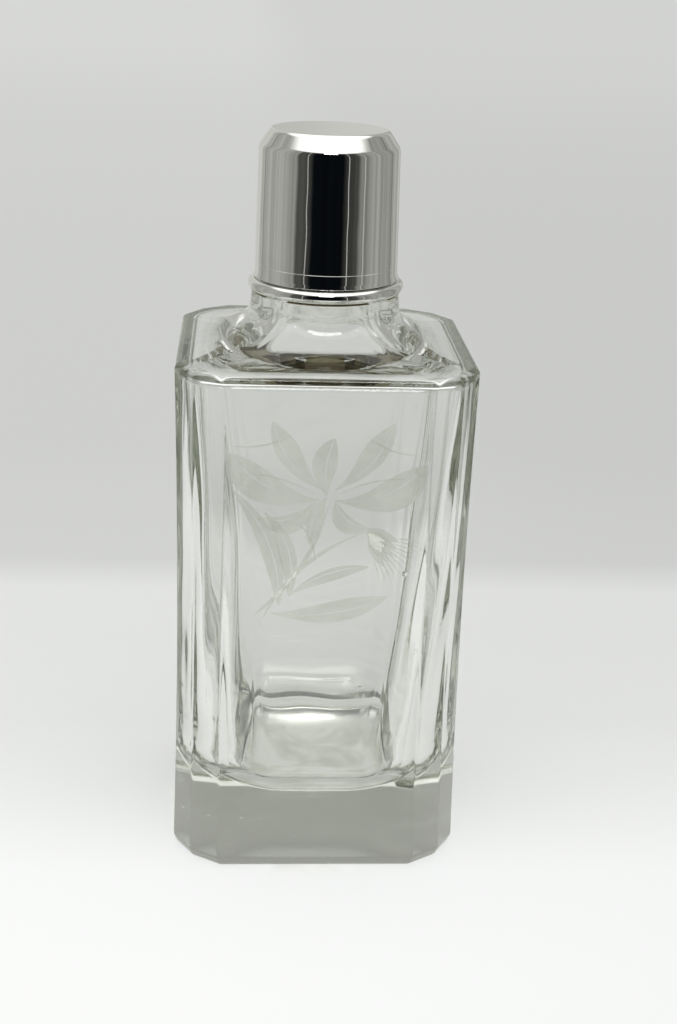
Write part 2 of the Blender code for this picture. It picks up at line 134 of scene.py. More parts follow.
def softened(outline: np.ndarray, radius: float, steps: int = 5, closed: bool = False) -> np.ndarray:
    """Rounds the corners of a line of points.

    Each corner P between neighbours A and B becomes the curve from a point near P towards A to one as near
    towards B, drawn by P. One point more is kept on each side, so that flat stretches stay flat.

    Args:
        outline: corners by 2.
        radius: how far from a corner its curve starts, at most 0.4 of the stretch.
        steps: points in each curve.
        closed: whether the last corner joins the first.

    Returns:
        The finer line, points by 2.
    """
    before = np.roll(outline, 1, axis=0) - outline
    after = np.roll(outline, -1, axis=0) - outline
    if not closed:
        before[0] = 0
        after[-1] = 0
    size_before = np.linalg.norm(before, axis=1, keepdims=True)
    size_after = np.linalg.norm(after, axis=1, keepdims=True)
    reach = np.minimum(radius, 0.4 * np.minimum(size_before, size_after))
    start = outline + before / np.maximum(size_before, 1e-9) * reach
    end = outline + after / np.maximum(size_after, 1e-9) * reach
    hold_start = outline + (start - outline) * 1.2
    hold_end = outline + (end - outline) * 1.2
    share = np.linspace(0, 1, steps)[None, :, None]
    bend = curve(start[:, None], outline[:, None], end[:, None], share)
    line = np.concatenate((hold_start[:, None], bend, hold_end[:, None]), axis=1).reshape(-1, 2)
    apart = np.linalg.norm(np.diff(line, axis=0), axis=1) > 1e-7
    return line[np.concatenate(([True], apart))]


def divided(line: np.ndarray, longest: float) -> np.ndarray:
    """Adds evenly spaced points to the long stretches of a line.

    Args:
        line: points by 2.
        longest: the longest stretch that is left, in metres.

    Returns:
        The line with its new points.
    """
    along = np.concatenate(([0.0], np.cumsum(np.linalg.norm(np.diff(line, axis=0), axis=1))))
    extra = np.arange(0, along[-1], longest)
    places = np.unique(np.concatenate((along, extra)))
    places = places[np.concatenate(([True], np.diff(places) > 1e-6))]
    return np.stack((np.interp(places, along, line[:, 0]), np.interp(places, along, line[:, 1])), axis=-1)


def directions(count: int) -> np.ndarray:
    """Even directions round the axis."""
    return np.arange(count) * 2 * math.pi / count


def turned(radius: np.ndarray, angle: np.ndarray, height: np.ndarray) -> np.ndarray:
    """Points round the axis: x is radius times cosine, y radius times sine.

    Args:
        radius: rows by columns, or by 1.
        angle: each column's direction.
        height: rows by 1.

    Returns:
        Rows by columns by 3.
    """
    x = radius * np.cos(angle)
    return np.stack((x, radius * np.sin(angle), height + 0 * x), axis=-1)


def tube(outer: float, inner: float, foot: float, top: float) -> list[Pair]:
    """The outline of a plain tube: up its outside and down its bore."""
    return [(outer, foot), (outer, top), (inner, top), (inner, foot)]


@dataclass
class Turning:
    """A turned piece: an outline up its outer side and down its inside, softened at its corners."""

    name: str
    outline: list[Pair]
    softness: float = 0.25 * MM
    columns: int = 160
    stretch: float = 2.0 * MM

    def build(self) -> bpy.types.Object:
        """Builds the piece. An outline that starts or ends on the axis closes to a pole there.

        Returns:
            The object.
        """
        outline = np.array(self.outline)
        poles = (bool(outline[0, 0] == 0), bool(outline[-1, 0] == 0))
        closed = not any(poles)
        line = softened(outline, self.softness, closed=closed)
        if closed:
            line = np.vstack((line, line[:1]))
        line = divided(line, self.stretch)
        line = line[line[:, 0] > 1e-7]
        if closed:
            line = line[:-1]
        points = turned(line[:, :1], directions(self.columns), line[:, 1:])
        return grid_mesh(self.name, points, poles, loop=closed)


# Materials and the effects that they share.


@dataclass
class Bench:
    """A node tree with short calls for adding and joining nodes."""

    tree: bpy.types.NodeTree

    def add(self, kind: str, inputs: dict | None = None, **settings: object) -> bpy.types.Node:
        """Adds a node.

        Args:
            kind: the node's type.
            inputs: input name or number to a value or to an output socket.
            settings: the node's own settings.

        Returns:
            The node.
        """
        node = self.tree.nodes.new(kind)
        for key, value in settings.items():
            setattr(node, key, value)
        for key, value in (inputs or {}).items():
            if isinstance(value, bpy.types.NodeSocket):
                self.join(value, node.inputs[key])
            else:
                node.inputs[key].default_value = value
        return node

    def join(self, value: bpy.types.NodeSocket, socket: bpy.types.NodeSocket) -> None:
        """Feeds a socket with an output."""
        self.tree.links.new(value, socket)

    def split(self, vector: bpy.types.NodeSocket) -> tuple[bpy.types.NodeSocket, ...]:
        """The x, y and z of a vector."""
        return tuple(self.add("ShaderNodeSeparateXYZ", {0: vector}).outputs)

    def level(self, value: bpy.types.NodeSocket) -> bpy.types.NodeSocket:
        """A vector of which all three parts are the value."""
        return self.add("ShaderNodeCombineXYZ", {0: value, 1: value, 2: value}).outputs[0]

    def ray(self, kind: str) -> bpy.types.NodeSocket:
        """1 for the rays of one kind, such as Camera, and 0 for others."""
        return self.add("ShaderNodeLightPath").outputs[f"Is {kind} Ray"]

    def relief(self, shader: bpy.types.Node, height: bpy.types.NodeSocket, distance: float,
               **inputs: object) -> None:
        """Bumps a shader's surface: a height of 1 stands for the distance, in metres."""
        bump = self.add("ShaderNodeBump", {"Strength": 1.0, "Distance": distance, "Height": height, **inputs})
        self.join(bump.outputs[0], shader.inputs["Normal"])

    def math(self, operation: str, *values: object) -> bpy.types.NodeSocket:
        """The output of a Math node with these values."""
        return self.add("ShaderNodeMath", dict(enumerate(values)), operation=operation).outputs[0]

    def product(self, *values: object) -> bpy.types.NodeSocket:
        """Multiplies two or more values.

        Args:
            values: numbers or sockets.

        Returns:
            Their product.
        """
        result = values[0]
        for value in values[1:]:
            result = self.math("MULTIPLY", result, value)
        return result

    def rest(self, value: bpy.types.NodeSocket) -> bpy.types.NodeSocket:
        """1 less a value."""
        return self.math("SUBTRACT", 1.0, value)

    def vector(self, operation: str, *values: object) -> bpy.types.NodeSocket:
        """The vector output of a Vector Math node with these values."""
        return self.add("ShaderNodeVectorMath", dict(enumerate(values)), operation=operation).outputs[0]

    def spread(self, value: object, low: float, high: float, start: float, end: float,
               smooth: bool = True) -> bpy.types.NodeSocket:
        """Takes a value from one range to another, clamped.

        Args:
            value: the value, a number or a socket.
            low: the value that gives start, as any lower one does.
            high: the value that gives end, as any higher one does.
            start: the result at low.
            end: the result at high.
            smooth: whether the result eases in and out.

        Returns:
            The result.
        """
        inputs = {"Value": value, "From Min": low, "From Max": high, "To Min": start, "To Max": end}
        kind = "SMOOTHSTEP" if smooth else "LINEAR"
        return self.add("ShaderNodeMapRange", inputs, interpolation_type=kind).outputs[0]

    def blend(self, factor: object, first: object, second: object) -> bpy.types.NodeSocket:
        """Mixes two colours.

        Args:
            factor: 0 for the first and 1 for the second, a number or a socket.
            first: the first colour or a socket.
            second: the second colour or a socket.

        Returns:
            The mixed colour.
        """
        node = self.add("ShaderNodeMix", data_type="RGBA")
        for socket, value in zip((node.inputs[0], node.inputs[6], node.inputs[7]), (factor, first, second)):
            if isinstance(value, bpy.types.NodeSocket):
                self.join(value, socket)
            else:
                socket.default_value = value
        return node.outputs[2]


def make_group(name: str, inputs: dict[str, tuple[str, object]],
               outputs: dict[str, str]) -> tuple[Bench, bpy.types.Node, bpy.types.Node]:
    """Starts a shader node group.

    Args:
        name: the group's name.
        inputs: input name to its socket kind and first value.
        outputs: output name to its socket kind.

    Returns:
        The bench for its nodes, the group's input node and its output node.
    """
    tree = bpy.data.node_groups.new(name, "ShaderNodeTree")
    for key, (kind, value) in inputs.items():
        socket = tree.interface.new_socket(key, in_out="INPUT", socket_type=kind)
        if value is not None:
            socket.default_value = value
    for key, kind in outputs.items():
        tree.interface.new_socket(key, in_out="OUTPUT", socket_type=kind)
    bench = Bench(tree)
    return bench, bench.add("NodeGroupInput"), bench.add("NodeGroupOutput")


@dataclass
class Effects:
    """The effects that several finishes share, each a node group."""

    lines: bpy.types.NodeTree = field(init=False)
    clouds: bpy.types.NodeTree = field(init=False)
    specks: bpy.types.NodeTree = field(init=False)
    room: bpy.types.NodeTree = field(init=False)

    def __post_init__(self) -> None:
        """Builds the groups."""
        self.lines = self.make_lines()
        self.clouds = self.make_clouds()
        self.specks = self.make_specks()
        self.room = self.make_room()

    def make_lines(self) -> bpy.types.NodeTree:
        """Fine lines round the axis: noise that is slow round it and quick along height plus radius.

        Returns:
            The group.
        """
        bench, source, result = make_group(
            "turning lines",
            {"Vector": ("NodeSocketVector", None), "Round": ("NodeSocketFloat", 40.0),
             "Along": ("NodeSocketFloat", 2500.0)},
            {"Lines": "NodeSocketFloat"})
        x, y, z = bench.split(source.outputs["Vector"])
        around = source.outputs["Round"]
        squares = bench.math("ADD", bench.product(x, x), bench.product(y, y))
        out = bench.math("SQRT", squares)
        along = bench.product(bench.math("ADD", z, out), source.outputs["Along"])
        place = bench.add("ShaderNodeCombineXYZ", {0: bench.product(x, around),
                                                   1: bench.product(y, around), 2: along})
        noise = bench.add("ShaderNodeTexNoise", {"Vector": place.outputs[0], "Scale": 1.0, "Detail": 3.0,
                                                 "Roughness": 0.65})
        bench.join(noise.outputs["Fac"], result.inputs["Lines"])
        return bench.tree

    def make_clouds(self) -> bpy.types.NodeTree:
        """Soft patches: layered noise, taken to 0 at Low and to 1 at High.

        Returns:
            The group.
        """
        bench, source, result = make_group(
            "soft patches",
            {"Vector": ("NodeSocketVector", None), "Scale": ("NodeSocketFloat", 60.0),
             "Low": ("NodeSocketFloat", 0.35), "High": ("NodeSocketFloat", 0.7)},
            {"Patches": "NodeSocketFloat"})
        noise = bench.add("ShaderNodeTexNoise", {"Vector": source.outputs["Vector"],
                                                 "Scale": source.outputs["Scale"], "Detail": 5.0,
                                                 "Roughness": 0.6, "Distortion": 0.6})
        patches = bench.spread(noise.outputs["Fac"], 0.35, 0.7, 0.0, 1.0)
        bench.join(source.outputs["Low"], patches.node.inputs["From Min"])
        bench.join(source.outputs["High"], patches.node.inputs["From Max"])
        bench.join(patches, result.inputs["Patches"])
        return bench.tree

    def make_specks(self) -> bpy.types.NodeTree:
        """Sparse small marks: cells of which only those with a low value of their own keep a spot.

        Returns:
            The group.
        """
        bench, source, result = make_group(
            "specks",
            {"Vector": ("NodeSocketVector", None), "Scale": ("NodeSocketFloat", 400.0),
             "Size": ("NodeSocketFloat", 0.2), "Share": ("NodeSocketFloat", 0.2)},
            {"Specks": "NodeSocketFloat"})
        cells = bench.add("ShaderNodeTexVoronoi", {"Vector": source.outputs["Vector"],
                                                   "Scale": source.outputs["Scale"]})
        own = bench.add("ShaderNodeSeparateColor", {0: cells.outputs["Color"]})
        kept = bench.math("LESS_THAN", own.outputs[0], source.outputs["Share"])
        near = bench.rest(bench.math("DIVIDE", cells.outputs["Distance"], source.outputs["Size"]))
        spot = bench.product(kept, bench.math("MAXIMUM", near, 0.0))
        bench.join(spot, result.inputs["Specks"])
        return bench.tree

    def make_room(self) -> bpy.types.NodeTree:
        """What mirrors see round the floor, by the bearing from -Y.

        It is dark in front and has paler walls beside and behind. A bright line stands on each side at 33
        degrees and one at 60 degrees on the right. Noise along the bearing streaks the walls, and the left
        is a little brighter.

        Returns:
            The group.
        """
        bench, source, result = make_group("room round the floor", {"Vector": ("NodeSocketVector", None)},
                                           {"Color": "NodeSocketColor"})
        x, y, _ = bench.split(source.outputs["Vector"])
        turn = bench.math("ARCTAN2", x, bench.product(y, -1.0))
        bearing = bench.math("ADD", turn, 0.06)
        away = bench.math("ABSOLUTE", bearing)
        ramp = bench.add("ShaderNodeValToRGB", {0: bench.math("DIVIDE", away, math.pi)})
        blue = (0.75, 1.0, 1.4)
        warm = (1.0, 1.015, 0.96)
        stops = ((0.0, 0.004, blue), (0.13, 0.004, blue), (0.17, 0.05, warm), (0.2, 0.055, warm),
                 (0.27, 0.08, warm), (0.3, 0.26, warm), (0.35, 0.31, warm), (0.42, 0.4, warm),
                 (0.5, 0.42, warm), (0.6, 0.38, warm), (0.668, 0.4, warm), (0.675, 0.25, warm),
                 (0.69, 0.25, warm), (0.7, 0.48, warm), (0.82, 0.55, warm), (1.0, 0.6, warm))
        self.fill_ramp(ramp, [(place, tuple(grey * part for part in shade)) for place, grey, shade in stops])
        streaks = bench.add("ShaderNodeTexNoise", {"W": bench.product(bearing, 5.0), "Detail": 3.0,
                                                   "Scale": 1.0, "Roughness": 0.5}, noise_dimensions="1D")
        level = bench.product(bench.spread(streaks.outputs[0], 0.3, 0.7, 0.8, 1.2),
                              bench.spread(bearing, -0.5, 0.5, 1.08, 0.86))
        walls = bench.vector("MULTIPLY", ramp.outputs[0], bench.level(level))
        edge = bench.spread(bench.math("ABSOLUTE", bench.math("SUBTRACT", away, math.radians(33))),
                            0.006, 0.014, 1.0, 0.0)
        second = bench.spread(bench.math("ABSOLUTE", bench.math("SUBTRACT", bearing, math.radians(60))),
                              0.008, 0.022, 0.8, 0.0)
        colour = bench.blend(bench.math("MAXIMUM", edge, second), walls, (0.6, 0.6, 0.59, 1.0))
        bench.join(colour, result.inputs["Color"])
        return bench.tree

    @staticmethod
    def fill_ramp(ramp: bpy.types.Node, stops: list[tuple[float, Triple]]) -> None:
        """Gives a colour ramp its stops.

        Args:
            ramp: the node.
            stops: each stop's place and colour.
        """
        elements = ramp.color_ramp.elements
        while len(elements) < len(stops):
            elements.new(0.5)
        for element, (place, _) in zip(elements, stops):
            element.position = place
        for element, (_, colour) in zip(elements, stops):
            element.color = (*colour, 1.0)

    def place(self, bench: Bench, tree: bpy.types.NodeTree, vector: object,
              **inputs: float) -> bpy.types.NodeSocket:
        """Places a group in a material.

        Args:
            bench: the material's bench.
            tree: the group.
            vector: the coordinates.
            inputs: the group's other inputs, their names in small letters.

        Returns:
            The group's output.
        """
        node = bench.add("ShaderNodeGroup", node_tree=tree)
        bench.join(vector, node.inputs["Vector"])
        for key, value in inputs.items():
            node.inputs[key.capitalize()].default_value = value
        return node.outputs[0]


def new_material(name: str) -> tuple[bpy.types.Material, Bench, bpy.types.Node, bpy.types.NodeSocket]:
    """Starts a material.

    Args:
        name: the material's name.

    Returns:
        The material, its bench, its Principled shader and the Object coordinates.
    """
    material = bpy.data.materials.new(name)
    material.use_nodes = True
    bench = Bench(material.node_tree)
    shader = material.node_tree.nodes["Principled BSDF"]
    place = bench.add("ShaderNodeTexCoord").outputs["Object"]
    return material, bench, shader, place


@dataclass(frozen=True)
class Glass:
    """Thick clear glass: hardly tinted, with a mould's waviness, faint smears and a few seeds."""

    name: str = "clear_glass"
    tint: Triple = (0.985, 0.992, 0.98)
    depth_tint: Triple = (0.8, 0.812, 0.775)
    density: float = 24.0
    refraction: float = 1.5
    wave: float = 0.06 * MM
    seed_height: float = 1.6
    smear: float = 0.035
    underside_wear: float = 0.12

    def material(self, effects: Effects) -> bpy.types.Material:
        """Builds the material.

        Args:
            effects: the shared effects.

        Returns:
            The material.
        """
        material, bench, shader, place = new_material(self.name)
        smears = effects.place(bench, effects.clouds, place, scale=45.0, low=0.5, high=0.8)
        seeds = effects.place(bench, effects.specks, place, scale=160.0, size=0.16, share=0.1)
        stretched = bench.add("ShaderNodeMapping", {"Vector": place, "Scale": (1.0, 1.0, 0.35)}).outputs[0]
        waves = bench.add("ShaderNodeTexNoise", {"Vector": stretched, "Scale": 55.0, "Detail": 2.0})
        shader.inputs["Base Color"].default_value = (*self.tint, 1.0)
        shader.inputs["IOR"].default_value = self.refraction
        shader.inputs["Transmission Weight"].default_value = 1.0
        shader.inputs["Metallic"].default_value = 0.0
        z = bench.split(place)[2]
        worn = bench.spread(z, 0.2 * MM, 0.6 * MM, self.underside_wear, 0.0)
        bench.join(bench.math("ADD", worn, bench.spread(smears, 0.0, 1.0, 0.0, self.smear)),
                   shader.inputs["Roughness"])
        height = bench.math("ADD", waves.outputs["Fac"], bench.product(seeds, self.seed_height))
        bench.relief(shader, height, self.wave)
        absorb = bench.add("ShaderNodeVolumeAbsorption", {"Color": (*self.depth_tint, 1.0),
                                                          "Density": self.density})
        output = material.node_tree.nodes["Material Output"]
        bench.join(absorb.outputs[0], output.inputs["Volume"])
        return material


@dataclass(frozen=True)
class Engraving:
    """Glass that a wheel has cut matt."""

    name: str = "matt_engraving"
    tint: Triple = (0.9, 0.91, 0.86)
    shaded: Triple = (0.81, 0.819, 0.774)
    refraction: float = 1.5
    smooth: float = 0.08
    rough: float = 0.18

    def material(self, effects: Effects) -> bpy.types.Material:
        """Builds the material.

        Args:
            effects: the shared effects.

        Returns:
            The material.
        """
        material, bench, shader, place = new_material(self.name)
        grain = effects.place(bench, effects.clouds, place, scale=900.0, low=0.3, high=0.7)
        patches = effects.place(bench, effects.clouds, place, scale=80.0, low=0.3, high=0.7)
        shader.inputs["IOR"].default_value = self.refraction
        shader.inputs["Transmission Weight"].default_value = 1.0
        shader.inputs["Metallic"].default_value = 0.0
        bench.join(bench.blend(patches, (*self.tint, 1.0), (*self.shaded, 1.0)), shader.inputs["Base Color"])
        bench.join(bench.spread(grain, 0.0, 1.0, self.smooth, self.rough), shader.inputs["Roughness"])
        bench.relief(shader, grain, 0.03 * MM, Strength=0.6)
        return material


@dataclass(frozen=True)
class Metal:
    """Turned and polished metal with hairlines, patches of wear and a little dirt."""

    name: str
    colour: Triple
    worn: Triple
    roughness: Pair
    line_depth: float
    dirt: float = 0.1
    speck_dirt: float = 0.35
    dent: float = 0.15 * MM

    def material(self, effects: Effects) -> bpy.types.Material:
        """Builds the material.

        Args:
            effects: the shared effects.

        Returns:
            The material.
        """
        material, bench, shader, place = new_material(self.name)
        dents = bench.add("ShaderNodeTexNoise", {"Vector": place, "Scale": 70.0, "Detail": 1.0})
        uneven = bench.add("ShaderNodeBump", {"Strength": 1.0, "Distance": self.dent,
                                              "Height": dents.outputs[0]})
        lines = effects.place(bench, effects.lines, place, round=30.0, along=2600.0)
        coarse = effects.place(bench, effects.lines, place, round=60.0, along=700.0)
        patches = effects.place(bench, effects.clouds, place, scale=70.0, low=0.45, high=0.8)
        specks = effects.place(bench, effects.specks, place, scale=900.0, size=0.25, share=0.03)
        shader.inputs["Metallic"].default_value = 1.0
        dirty = bench.math("ADD", bench.product(patches, self.dirt), bench.product(specks, self.speck_dirt))
        colour = bench.blend(bench.math("MINIMUM", dirty, 1.0), (*self.colour, 1.0), (*self.worn, 1.0))
        bench.join(colour, shader.inputs["Base Color"])
        strong = bench.spread(lines, 0.55, 0.8, 0.0, 1.0)
        dull = bench.product(bench.math("ADD", patches, strong), 0.5)
        bench.join(bench.spread(dull, 0.0, 1.0, *self.roughness, smooth=False), shader.inputs["Roughness"])
        height = bench.math("ADD", bench.product(lines, 0.5), coarse)
        bench.relief(shader, height, self.line_depth, Normal=uneven.outputs[0])
        return material


@dataclass(frozen=True)
class Bark:
    """Natural cork: pale body, darker pits and growth streaks."""

    name: str = "natural_cork"
    pale: Triple = (0.52, 0.34, 0.19)
    dark: Triple = (0.16, 0.08, 0.035)

    def material(self, effects: Effects) -> bpy.types.Material:
        """Builds the material.

        Args:
            effects: the shared effects.

        Returns:
            The material.
        """
        material, bench, shader, place = new_material(self.name)
        pits = effects.place(bench, effects.specks, place, scale=700.0, size=0.5, share=0.35)
        patches = effects.place(bench, effects.clouds, place, scale=260.0, low=0.35, high=0.75)
        amount = bench.math("MINIMUM", bench.math("ADD", pits, bench.product(patches, 0.45)), 1.0)
        bench.join(bench.blend(amount, (*self.pale, 1.0), (*self.dark, 1.0)), shader.inputs["Base Color"])
        bench.join(bench.spread(amount, 0.0, 1.0, 0.7, 0.95), shader.inputs["Roughness"])
        bench.relief(shader, bench.rest(amount), 0.2 * MM)
        return material


@dataclass(frozen=True)
class Plaster:
    """Set plaster: off-white, grainy, slightly stained."""

    name: str = "bedding_plaster"
    colour: Triple = (0.78, 0.76, 0.7)
    stain: Triple = (0.55, 0.5, 0.42)

    def material(self, effects: Effects) -> bpy.types.Material:
        """Builds the material.

        Args:
            effects: the shared effects.

        Returns:
            The material.
        """
        material, bench, shader, place = new_material(self.name)
        stains = effects.place(bench, effects.clouds, place, scale=150.0, low=0.4, high=0.8)
        grain = effects.place(bench, effects.clouds, place, scale=1800.0, low=0.3, high=0.7)
        bench.join(bench.blend(stains, (*self.colour, 1.0), (*self.stain, 1.0)), shader.inputs["Base Color"])
        bench.join(bench.spread(grain, 0.0, 1.0, 0.85, 1.0), shader.inputs["Roughness"])
        bench.relief(shader, grain, 0.1 * MM, Strength=0.7)
        return material


@dataclass
class Finishes:
    """The object's own materials: one for each slot, one for the engraving and one for the bedded glass."""

    effects: Effects
    made: dict[str, bpy.types.Material] = field(default_factory=dict)

    def __post_init__(self) -> None:
        """Builds each finish once."""
        silver = Metal("polished_silver", colour=(0.80, 0.795, 0.765), worn=(0.42, 0.39, 0.34),
                       roughness=(0.035, 0.13), line_depth=0.004 * MM)
        lining = Metal("lining_silver", colour=(0.68, 0.67, 0.63), worn=(0.35, 0.32, 0.28),
                       roughness=(0.22, 0.36), line_depth=0.01 * MM, dirt=0.3)
        steel = Metal("plated_steel", colour=(0.58, 0.58, 0.57), worn=(0.3, 0.27, 0.24),
                      roughness=(0.25, 0.42), line_depth=0.02 * MM, dirt=0.35)
        bedded = Plaster("bedded_glass", colour=(0.8, 0.72, 0.48), stain=(0.55, 0.47, 0.3))
        for slot, finish in ((Slot.GLASS, Glass()), (Slot.SILVER, silver), (Slot.LINING, lining),
                             (Slot.CORK, Bark()), (Slot.PLASTER, Plaster()), (Slot.STEEL, steel)):
            self.made[slot.value] = finish.material(self.effects)
        self.made["engraving"] = Engraving().material(self.effects)
        self.made["bedded glass"] = bedded.material(self.effects)

    def dress(self, obj: bpy.types.Object, slot: Slot, body: Body, *nodes: str, finish: str = "") -> None:
        """Gives a piece the material of its slot or named finish, parents it to its body and hides the solids
        that it stands for.

        Args:
            obj: the piece.
            slot: its slot, which is also its material where no other finish is named.
            body: the body that it rides on.
            nodes: the solids that it replaces.
            finish: the name of another finish.
        """
        obj.data.materials.clear()
        obj.data.materials.append(self.made[finish or slot.value])
        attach(obj, body.value)
        if nodes:
            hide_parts(*nodes)
        LOG.info("%s: %d faces on %s", obj.name, len(obj.data.polygons), body.value)


# The bottle and its engraving.


@dataclass
class Bottle:
    """The glass: a square body with canted corners, a fluted trumpet neck and a thick foot."""

    base_width: float = 95.0 * MM
    top_width: float = 93.6 * MM
    waist_draw: float = 0.9 * MM
    corner_cut: float = 14.7 * MM
    ridge_inset: float = 5.7 * MM
    ridge_softness: float = 0.7 * MM
    foot_rise: float = 4.0 * MM
    foot_inset: float = 2.2 * MM
    bevel_softness: float = 0.7 * MM
    shoulder: float = 169.4 * MM
    edge_radius: float = 2.0 * MM
    sweep_rise: float = 12.1 * MM
    neck_straight: float = 4.3 * MM
    neck_taper: float = 0.4 * MM
    neck_radius: float = 23.9 * MM
    flute_depth: float = 0.9 * MM
    flute_edge: float = math.radians(32)
    squareness: float = 1.6
    bore: float = 14.0 * MM
    mouth_wall: float = 4.7 * MM
    mouth_height: float = 20.2 * MM
    lip: float = 1.2 * MM
    floor: float = 18.0 * MM
    bowl_depth: float = 20.0 * MM
    bowl_power: float = 2.6
    bowl_roundness: float = 1.0
    bowl_rounding: float = 2.0
    wall_at_floor: float = 10.0 * MM
    wall_at_shoulder: float = 4.0 * MM
    inner_corner_at_floor: float = 24.0 * MM
    inner_corner_at_shoulder: float = 14.0 * MM
    ceiling: float = 3.0 * MM
    ceiling_corner: float = 2.0 * MM
    ceiling_slope: float = 0.6 * MM
    inner_flare: float = 12.0 * MM
    inner_rise: float = 12.0 * MM
    flare_power: float = 0.8
    ripple: float = 0.10 * MM
    corner_ripple: float = 0.2 * MM
    corner_folds: float = 27
    fold_start: float = math.radians(20)
    fold_run: float = math.radians(12)
    ripple_fade: float = 20.0 * MM
    bedded_half: float = math.radians(34)

    def plan(self) -> tuple[np.ndarray, np.ndarray]:
        """The columns of one eighth, from the corner's diagonal to the middle of the +X face.

        The place along the outline is 0 at the corner ridge, 1 at the face's edge and 2 at its middle. The
        two bends are quadratic curves. The direction at the neck runs with the place, stretch by stretch.

        Returns:
            The outline at the top of the walls, columns by 2, and each column's direction at the neck.
        """
        half = self.top_width / 2
        ridge = np.array([half - self.ridge_inset] * 2)
        edge = np.array([half, half - self.corner_cut])
        facet = np.linalg.norm(edge - ridge)
        soft = self.ridge_softness
        along = (edge - ridge) / facet
        share = np.linspace(0.5, 1, 5)[:, None]
        first = ridge + along[::-1] * soft
        last = ridge + along * soft
        corner = curve(first, ridge, last, share)
        corner_place = (2 * share[:, 0] - 1) * soft / facet
        facet_place = np.concatenate(([0.072, 0.08, 0.09, 0.1, 0.108, 0.114, 0.12, 0.126, 0.134, 0.15, 0.19],
                                      [0.26, 0.36, 0.46, 0.56, 0.66, 0.76, 0.85]))
        share = np.linspace(0, 1, 7)[:, None]
        first = edge - along * soft
        last = edge - np.array([0, soft])
        bend = curve(first, edge, last, share)
        reach = np.where(share[:, 0] < 0.5, soft / facet, soft / edge[1])
        bend_place = 1 + reach * (2 * share[:, 0] - 1)
        flat_place = np.concatenate(([1.03, 1.06], np.linspace(1.11, 2, 12)))
        facet_points = ridge + along * (facet_place * facet)[:, None]
        flat_points = np.stack((np.full(flat_place.shape, half), edge[1] * (2 - flat_place)), axis=-1)
        points = np.vstack((corner, facet_points, bend, flat_points))
        place = np.concatenate((corner_place, facet_place, bend_place, flat_place))
        stops = [0, 0.12, 0.55, 1, 1.25, 1.5, 1.75, 2]
        shares = np.array([1, 0.84, 0.66, 0.5, 0.33, 0.17, 0]) * self.flute_edge
        return points, np.interp(place, stops, np.concatenate(([math.pi / 4], shares)))

    @staticmethod
    def all_round(eighth: np.ndarray) -> np.ndarray:
        """Mirrors an eighth and turns it to a whole outline, anticlockwise from the +X face's lower corner.

        Args:
            eighth: columns by 2, or rows of them.

        Returns:
            The whole outline, or rows of them.
        """
        lower = eighth[..., 1:-1, :] * np.array([1.0, -1.0])
        side = np.concatenate((lower, eighth[..., ::-1, :]), axis=-2)
        turned = [side]
        for _ in range(3):
            last = turned[-1]
            turned.append(np.stack((-last[..., 1], last[..., 0]), axis=-1))
        return np.concatenate(turned, axis=-2)

    @staticmethod
    def raised(sections: np.ndarray, heights: np.ndarray) -> np.ndarray:
        """Gives each flat section its height."""
        columns = np.broadcast_to(heights[:, None, None], (*sections.shape[:2], 1))
        return np.concatenate((sections, columns), axis=-1)

    def wall_half(self, share: np.ndarray) -> np.ndarray:
        """Half the body's width at a share of the walls' rise: a straight taper less the waist's parabola."""
        straight = self.base_width + (self.top_width - self.base_width) * share
        return straight / 2 - self.waist_draw * (1 - (2 * share - 1) ** 2)

    def neck_rows(self, turn: np.ndarray, plan: np.ndarray, angle: np.ndarray) -> np.ndarray:
        """Sections of the neck's sweep.

        With the turn t, the face's middle is at the neck's radius plus the reach times 1 minus cos t. A
        section is the power curve |x|^p + |y|^p with p = 2 + squareness times sin t, in the columns'
        directions. The corner between the flute's edges is their chord less a hollow that falls with
        cos squared t. The section then goes over to the body's outline by sin squared t.

        Args:
            turn: the turns, a quarter at the shoulder and 0 at the upright neck.
            plan: the eighth's outline at the top of the walls.
            angle: the eighth's directions at the neck.

        Returns:
            Turns by columns by 2, all round.
        """
        t = turn[:, None]
        reach = self.top_width / 2 - self.edge_radius - self.neck_radius
        distance = self.neck_radius + reach * (1 - np.cos(t))
        power = 2 + self.squareness * np.sin(t)
        radius = self.power_curve(distance, power, angle)
        edge = self.power_curve(distance, power, np.array(self.flute_edge))
        half = math.pi / 4 - self.flute_edge
        off = math.pi / 4 - angle
        chord = edge * math.cos(half) / np.cos(off)
        hollow = self.flute_depth * np.cos(t) ** 2 * (1 - (off / half) ** 2)
        radius = np.where(angle > self.flute_edge + 1e-6, chord - hollow, radius)
        rays = np.stack((np.cos(angle), np.sin(angle)), axis=-1)
        body = plan[None] * (distance / (self.top_width / 2))[..., None]
        spread = (np.sin(t) ** 2)[..., None]
        return self.all_round((1 - spread) * rays[None] * radius[..., None] + spread * body)

    @staticmethod
    def power_curve(half: np.ndarray, power: np.ndarray, angle: np.ndarray) -> np.ndarray:
        """The radius of |x|^p + |y|^p = half^p in a direction."""
        return half * (np.cos(angle) ** power + np.sin(angle) ** power) ** (-1 / power)

    def ledge(self) -> float:
        """The height of the ledge at the mouth's foot."""
        return self.shoulder + self.sweep_rise + self.neck_straight

